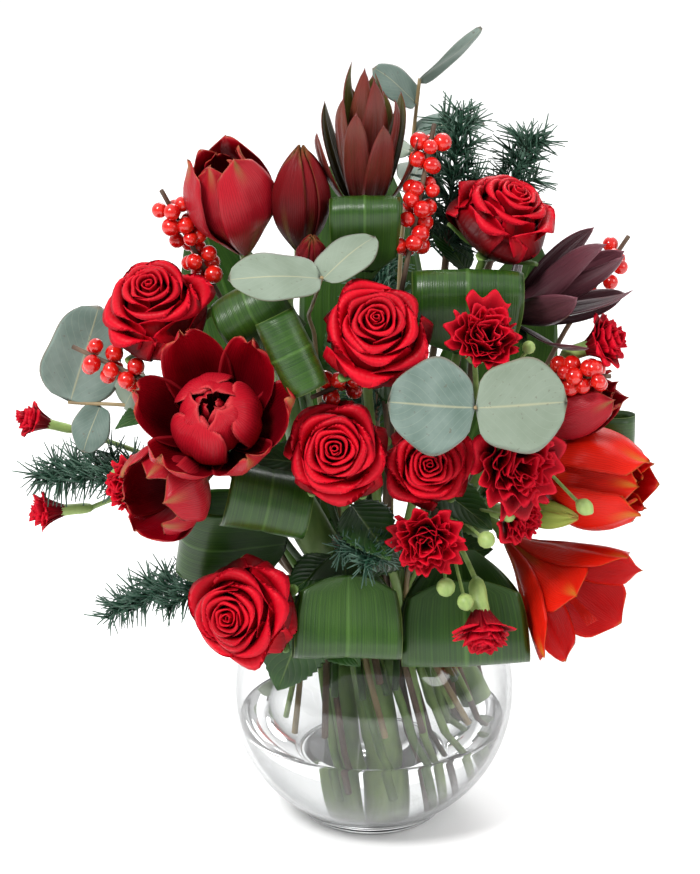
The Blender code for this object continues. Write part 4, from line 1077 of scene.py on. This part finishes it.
class Growth(Nodes):
    """A geometry node tree with one mesh in, named sizes, and one mesh out."""

    def __init__(self, name, sizes):
        super().__init__(bpy.data.node_groups.new(name, "GeometryNodeTree"))
        face = self.tree.interface
        face.new_socket("Geometry", in_out="INPUT", socket_type="NodeSocketGeometry")
        self.keys = {}
        for label, value in sizes.items():
            kind = "NodeSocketInt" if isinstance(value, int) else "NodeSocketFloat"
            socket = face.new_socket(label, in_out="INPUT", socket_type=kind)
            socket.default_value = value
            self.keys[label] = socket.identifier
        face.new_socket("Geometry", in_out="OUTPUT", socket_type="NodeSocketGeometry")
        self.start = self.tree.nodes.new("NodeGroupInput")

    def given(self, label):
        return Wire(self, self.start.outputs[label])

    def random(self, low, high, seed):
        return self.node("FunctionNodeRandomValue", {"data_type": "FLOAT"},
                         {"Min": low, "Max": high, "Seed": seed, "ID": self.index()}, 1)

    def index(self):
        return self.node("GeometryNodeInputIndex")

    def end(self, geometry, finish):
        real = self.node("GeometryNodeRealizeInstances", {}, {"Geometry": geometry})
        smooth = self.node("GeometryNodeSetShadeSmooth", {}, {"Geometry": real})
        made = self.node("GeometryNodeSetMaterial", {}, {"Geometry": smooth, "Material": finish})
        out = self.tree.nodes.new("NodeGroupOutput")
        self.tree.links.new(made.socket, out.inputs[0])

    def applied(self, name, mesh, sizes):
        """The tree's result on a mesh, as a plain mesh."""
        helper = bpy.data.objects.new(name + "_helper", mesh)
        bpy.context.scene.collection.objects.link(helper)
        modifier = helper.modifiers.new("growth", "NODES")
        modifier.node_group = self.tree
        for label, value in sizes.items():
            modifier[self.keys[label]] = value
        bpy.context.view_layer.update()
        graph = bpy.context.evaluated_depsgraph_get()
        result = bpy.data.meshes.new_from_object(helper.evaluated_get(graph), depsgraph=graph)
        bpy.data.objects.remove(helper)
        result.name = name
        return result


def line_mesh(name, lines):
    """Open lines as a mesh of edges."""
    mesh = bpy.data.meshes.new(name)
    points = np.concatenate(lines) * MM
    edges, count = [], 0
    for line in lines:
        edges += [(count + k, count + k + 1) for k in range(len(line) - 1)]
        count += len(line)
    mesh.from_pydata(points.tolist(), edges, [])
    return mesh


# %% The needle tree


def needle_tree():
    tree = Growth("fir needles", {"Spacing": 0.0011, "Needle": 0.015, "Tilt": 0.95, "Twig": 0.0011, "Seed": 1})
    curve = tree.node("GeometryNodeMeshToCurve", {}, {"Mesh": tree.given("Geometry")})
    points = tree.node("GeometryNodeCurveToPoints", {"mode": "LENGTH"}, {
        "Curve": curve, "Length": tree.given("Spacing")})
    turned = Wire(tree, points.socket.node.outputs["Rotation"])
    cone = tree.node("GeometryNodeMeshCone", {}, {
        "Vertices": 5, "Side Segments": 2, "Radius Top": 0.00030, "Radius Bottom": 0.0007,
        "Depth": tree.given("Needle")})
    seed = tree.given("Seed")
    roll = tree.random(0.0, 6.2832, seed)
    tilt = tree.random(-0.22, 0.22, seed + 1.0) + tree.given("Tilt")
    lean = tree.node("ShaderNodeCombineXYZ", {}, {0: tilt, 1: 0.0, 2: roll})
    lean = tree.node("FunctionNodeEulerToRotation", {}, {0: lean})
    turned = tree.node("FunctionNodeRotateRotation", {"rotation_space": "LOCAL"}, {0: turned, 1: lean})
    size = tree.random(0.7, 1.1, seed + 2.0)
    set_out = tree.node("GeometryNodeInstanceOnPoints", {}, {
        "Points": points, "Instance": cone, "Rotation": turned, "Scale": size})
    profile = tree.node("GeometryNodeCurvePrimitiveCircle", {"mode": "RADIUS"}, {
        "Resolution": 6, "Radius": tree.given("Twig")})
    twig = tree.node("GeometryNodeCurveToMesh", {}, {"Curve": curve, "Profile Curve": profile, "Fill Caps": True})
    both = tree.node("GeometryNodeJoinGeometry", {}, {"Geometry": set_out})
    tree.tree.links.new(twig.socket, both.socket.node.inputs[0])
    tree.end(both, needle_finish)
    return tree


def side_shoots(spine, half_width, flat, rng):
    """The main shoot and shorter ones that leave it on both sides."""
    lines = [spine]
    tangents = np.gradient(spine, axis=0)
    for k in range(2, len(spine) - 2, 3):
        tangent = unit(tangents[k])
        for sign in (-1, 1):
            way = unit(tangent * 0.75 + flat * sign)
            length = half_width * rng.uniform(1.0, 1.6) * (1 - 0.6 * k / len(spine))
            steps = np.linspace(0, length, 5)
            lines.append(spine[k] + np.outer(steps, way) + np.outer((steps / length) ** 2 * 2.0, tangent))
    return lines


SHOOT_RINGS = 6
FIR = ["fir_top", "fir_top_right", "fir_left", "fir_low_left", "fir_bottom", "fir_back"]
fir_tree = needle_tree()
for number, node in enumerate(FIR):
    rings = rings_of(node, 5)
    stem, head = middles_of(rings[:-SHOOT_RINGS]), middles_of(rings[-SHOOT_RINGS:])
    widest = max(rings[-SHOOT_RINGS:], key=lambda ring: np.ptp(ring, axis=0).max())
    spread = widest - widest.mean(axis=0)
    flat = unit(np.linalg.svd(spread)[2][0])
    half_width = np.linalg.norm(spread, axis=1).max()
    spine, _ = resampled(head, 4.0)
    lines = side_shoots(spine, half_width, flat, np.random.default_rng(150 + number))
    mesh = fir_tree.applied(node + "_needles", line_mesh(node, lines), {
        "Spacing": 0.00042, "Needle": half_width * MM, "Seed": number * 10})
    show(node + "_needles", mesh, needle_finish, "fir_needle", node)
    twig = Shape()
    path, _ = resampled(np.vstack([stem, head[:2]]), 6.0)
    twig.tube(path, 2.1, 9)
    show(node + "_twig", twig.mesh(node + "_twig"), bark_finish, "fir_needle", node)

# %% The berry tree


def berry_tree():
    tree = Growth("ilex berries", {"Berry": 0.005, "Seed": 1})
    ball = tree.node("GeometryNodeMeshUVSphere", {}, {"Segments": 20, "Rings": 12, "Radius": tree.given("Berry")})
    mapped = Wire(tree, ball.socket.node.outputs["UV Map"])
    stored = tree.node("GeometryNodeStoreNamedAttribute", {"data_type": "FLOAT2", "domain": "CORNER"}, {
        "Geometry": ball, "Name": "surface", "Value": mapped})
    seed = tree.given("Seed")
    size = tree.random(0.82, 1.08, seed)
    turn = tree.node("ShaderNodeCombineXYZ", {}, {
        0: tree.random(0.3, 2.2, seed + 1.0), 1: tree.random(-0.8, 0.8, seed + 2.0),
        2: tree.random(-0.9, 0.9, seed + 3.0)})
    turn = tree.node("FunctionNodeEulerToRotation", {}, {0: turn})
    set_out = tree.node("GeometryNodeInstanceOnPoints", {}, {
        "Points": tree.given("Geometry"), "Instance": stored, "Rotation": turn, "Scale": size})
    tree.end(set_out, ilex_finish)
    return tree


def berry_places(path, whorls, rng, berry=5.0):
    """Middles of berries that crowd round the twig at each whorl, and the short stalks that hold them."""
    places = []
    for whorl in whorls:
        turn = rng.uniform(0, 6.28)
        k = int(np.argmin(np.linalg.norm(path - whorl, axis=1)))
        tangent = unit(path[min(k + 1, len(path) - 1)] - path[max(k - 1, 0)])
        side = square_to(tangent, (0, -1, 0.3) if abs(tangent[1]) < 0.9 else (1, 0, 0))
        other = np.cross(tangent, side)
        for step in range(4):
            angle = turn + step * 1.57 + rng.uniform(-0.3, 0.3)
            way = math.cos(angle) * side + math.sin(angle) * other
            places.append((whorl, whorl + way * berry * 1.25 + tangent * rng.uniform(-3.5, 3.5)))
    return places


ILEX = ["ilex_left_long", "ilex_centre", "ilex_left_low", "ilex_middle", "ilex_right_top", "ilex_right"]
berries = berry_tree()
for number, node in enumerate(ILEX):
    rings = rings_of(node, 5)
    middles, sizes = middles_of(rings), radii_of(rings)
    beads = middles[sizes > sizes.max() * 0.8]
    path, _ = resampled(middles, 3.0)
    rng = np.random.default_rng(180 + number)
    pairs = berry_places(path, beads, rng)
    marks = line_mesh(node, [np.array([berry]) for _, berry in pairs])
    mesh = berries.applied(node + "_berries", marks, {"Berry": 0.0048, "Seed": number * 10})
    show(node + "_berries", mesh, ilex_finish, "ilex_berry", node)
    twig = Shape()
    twig.tube(path, np.linspace(2.0, 1.3, len(path)), 9)
    for whorl, berry in pairs:
        twig.tube(np.linspace(whorl, berry * 0.7 + whorl * 0.3, 4), 0.6, 5)
    show(node + "_twig", twig.mesh(node + "_twig"), bark_finish, "ilex_berry", node)

# %% [markdown]
# ## The bowl and its water
# The bowl is turned from one outline with a rounded rim and a thick foot. The water is turned from the
# inside of the same outline, a hair smaller, so that light meets glass, then water.

# %% Turn the bowl and fill it

bowl_low, bowl_high = (np.array(corner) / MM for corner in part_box("glass_bowl"))
water_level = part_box("water")[1].z / MM
BOWL_RADIUS = (bowl_high[0] - bowl_low[0]) / 2
BOWL_WALL, BOWL_FLOOR = 3.0, 7.0
HEEL_RADIUS, HEEL_HEIGHT, BASE_RADIUS, MOUTH_RADIUS = 44.0, 5.9, 40.0, 52.0
BOWL_CENTRE = HEEL_HEIGHT + math.sqrt(BOWL_RADIUS**2 - HEEL_RADIUS**2)
RIM_HEIGHT = BOWL_CENTRE + math.sqrt(BOWL_RADIUS**2 - MOUTH_RADIUS**2)


def arc(radius, low, high, steps):
    """Points of radius and height on a sphere about the bowl's centre, between two heights."""
    start, end = (math.asin((height - BOWL_CENTRE) / radius) for height in (low, high))
    return [(radius * math.cos(a), BOWL_CENTRE + radius * math.sin(a)) for a in np.linspace(start, end, steps)]


def wet_side(clearance, top, steps):
    side = arc(BOWL_RADIUS - BOWL_WALL - clearance, BOWL_FLOOR + 4 + clearance, top, steps)
    floor = BOWL_FLOOR + clearance
    corner = [(side[0][0] - 7 * math.cos(a), floor + 4 - 4 * math.sin(a)) for a in np.linspace(1.5, 0.15, 6)]
    return [(0, floor), *corner, *side]


heel = [(BASE_RADIUS - 0.6, 0.0), (BASE_RADIUS + 0.1, 0.25), (BASE_RADIUS + 1.2, 1.2), (HEEL_RADIUS - 1.0, 2.8),
        (HEEL_RADIUS - 0.2, 4.4)]
lip_centre, lip = (MOUTH_RADIUS - BOWL_WALL / 2 - 0.3, RIM_HEIGHT - 0.4), BOWL_WALL / 2 + 0.1
lip_arc = [(lip_centre[0] + lip * math.cos(a), lip_centre[1] + lip * math.sin(a))
           for a in np.linspace(0.5, 2.9, 9)]
bowl = Shape()
bowl.turned([(0, 0), *heel, *arc(BOWL_RADIUS, HEEL_HEIGHT, RIM_HEIGHT - 1, 60), *lip_arc,
             *wet_side(0.0, RIM_HEIGHT - 2, 56)[::-1]], 144)
show("bowl", bowl.mesh("bowl"), glass_finish, "clear_glass", "glass_bowl")
water = Shape()
meniscus = arc(BOWL_RADIUS - BOWL_WALL - 0.15, water_level, water_level + 1.2, 2)[-1]
water.turned([*wet_side(0.15, water_level + 0.9, 30), (meniscus[0] - 1.2, water_level + 0.3),
              (meniscus[0] - 3.0, water_level), (0, water_level)], 144)
show("water_fill", water.mesh("water_fill"), water_finish, "water", "water")

# %% [markdown]
# ## Studio, lights and camera
# The bouquet stands in a white studio: a pale floor, an even white sky, one large soft light from the
# upper left and a weaker one from the right. The camera looks slightly down from the front.

# %% Floor, sky and lights

floor = Shape()
reach = 9000.0
floor_corners = [(x * reach, y * reach, -0.2) for x, y in ((-1, -1), (1, -1), (1, 1), (-1, 1))]
floor.patch(np.array(floor_corners), [(0, 1, 2, 3)], np.zeros((4, 2)), 0.5)
floor_finish = Finish("studio floor").paint(colour(0.9, 0.9, 0.9), 0.9, Emission_Color=colour(1, 1, 1),
                                            Emission_Strength=0.12)
floor_mesh = floor.mesh("studio_floor")
floor_mesh.materials.append(floor_finish)
studio_floor = bpy.data.objects.new("studio_floor", floor_mesh)
bpy.context.scene.collection.objects.link(studio_floor)

world = bpy.data.worlds.new("white studio")
world.use_nodes = True
sky = Nodes(world.node_tree)
way = sky.node("ShaderNodeTexCoord", {}, {}, 0)
front = sky.node("ShaderNodeSeparateXYZ", {}, {0: way}, 1)
above = sky.node("ShaderNodeSeparateXYZ", {}, {0: way}, 2)
brightness = 0.34 + front.step(-0.5, 0.6) * 0.61 + above.step(0.1, 0.9) * 0.40
world.node_tree.links.new(brightness.socket, world.node_tree.nodes["Background"].inputs[1])
world.node_tree.nodes["Background"].inputs[0].default_value = (1, 1, 1, 1)
bpy.context.scene.world = world
bpy.context.scene.view_settings.view_transform = "Standard"


def soft_light(name, place, aim, size, power):
    light = bpy.data.lights.new(name, "AREA")
    light.shape, light.size, light.energy = "DISK", size, power
    lamp = bpy.data.objects.new(name, light)
    lamp.location = place
    way = np.array(aim) - np.array(place)
    turn = math.atan2(way[0], -way[1])
    lamp.rotation_euler = (math.acos(-way[2] / np.linalg.norm(way)), 0, turn + math.pi)
    bpy.context.scene.collection.objects.link(lamp)


soft_light("key_light", (-1.1, -1.3, 2.0), (0, 0, 0.3), 0.7, 54)
soft_light("fill_light", (1.6, -0.9, 1.1), (0, 0, 0.3), 1.1, 12)
soft_light("back_light", (0.3, 1.5, 1.6), (0, 0, 0.3), 1.0, 16)

# %% Camera

lens = bpy.data.cameras.new("camera")
lens.lens, lens.sensor_width, lens.clip_end = 112.9, 36.0, 50.0
camera = bpy.data.objects.new("camera", lens)
camera.location = (-0.013, -1.5128, 0.7589)
camera.rotation_euler = (math.radians(71), 0, 0)
bpy.context.scene.collection.objects.link(camera)
bpy.context.scene.camera = camera
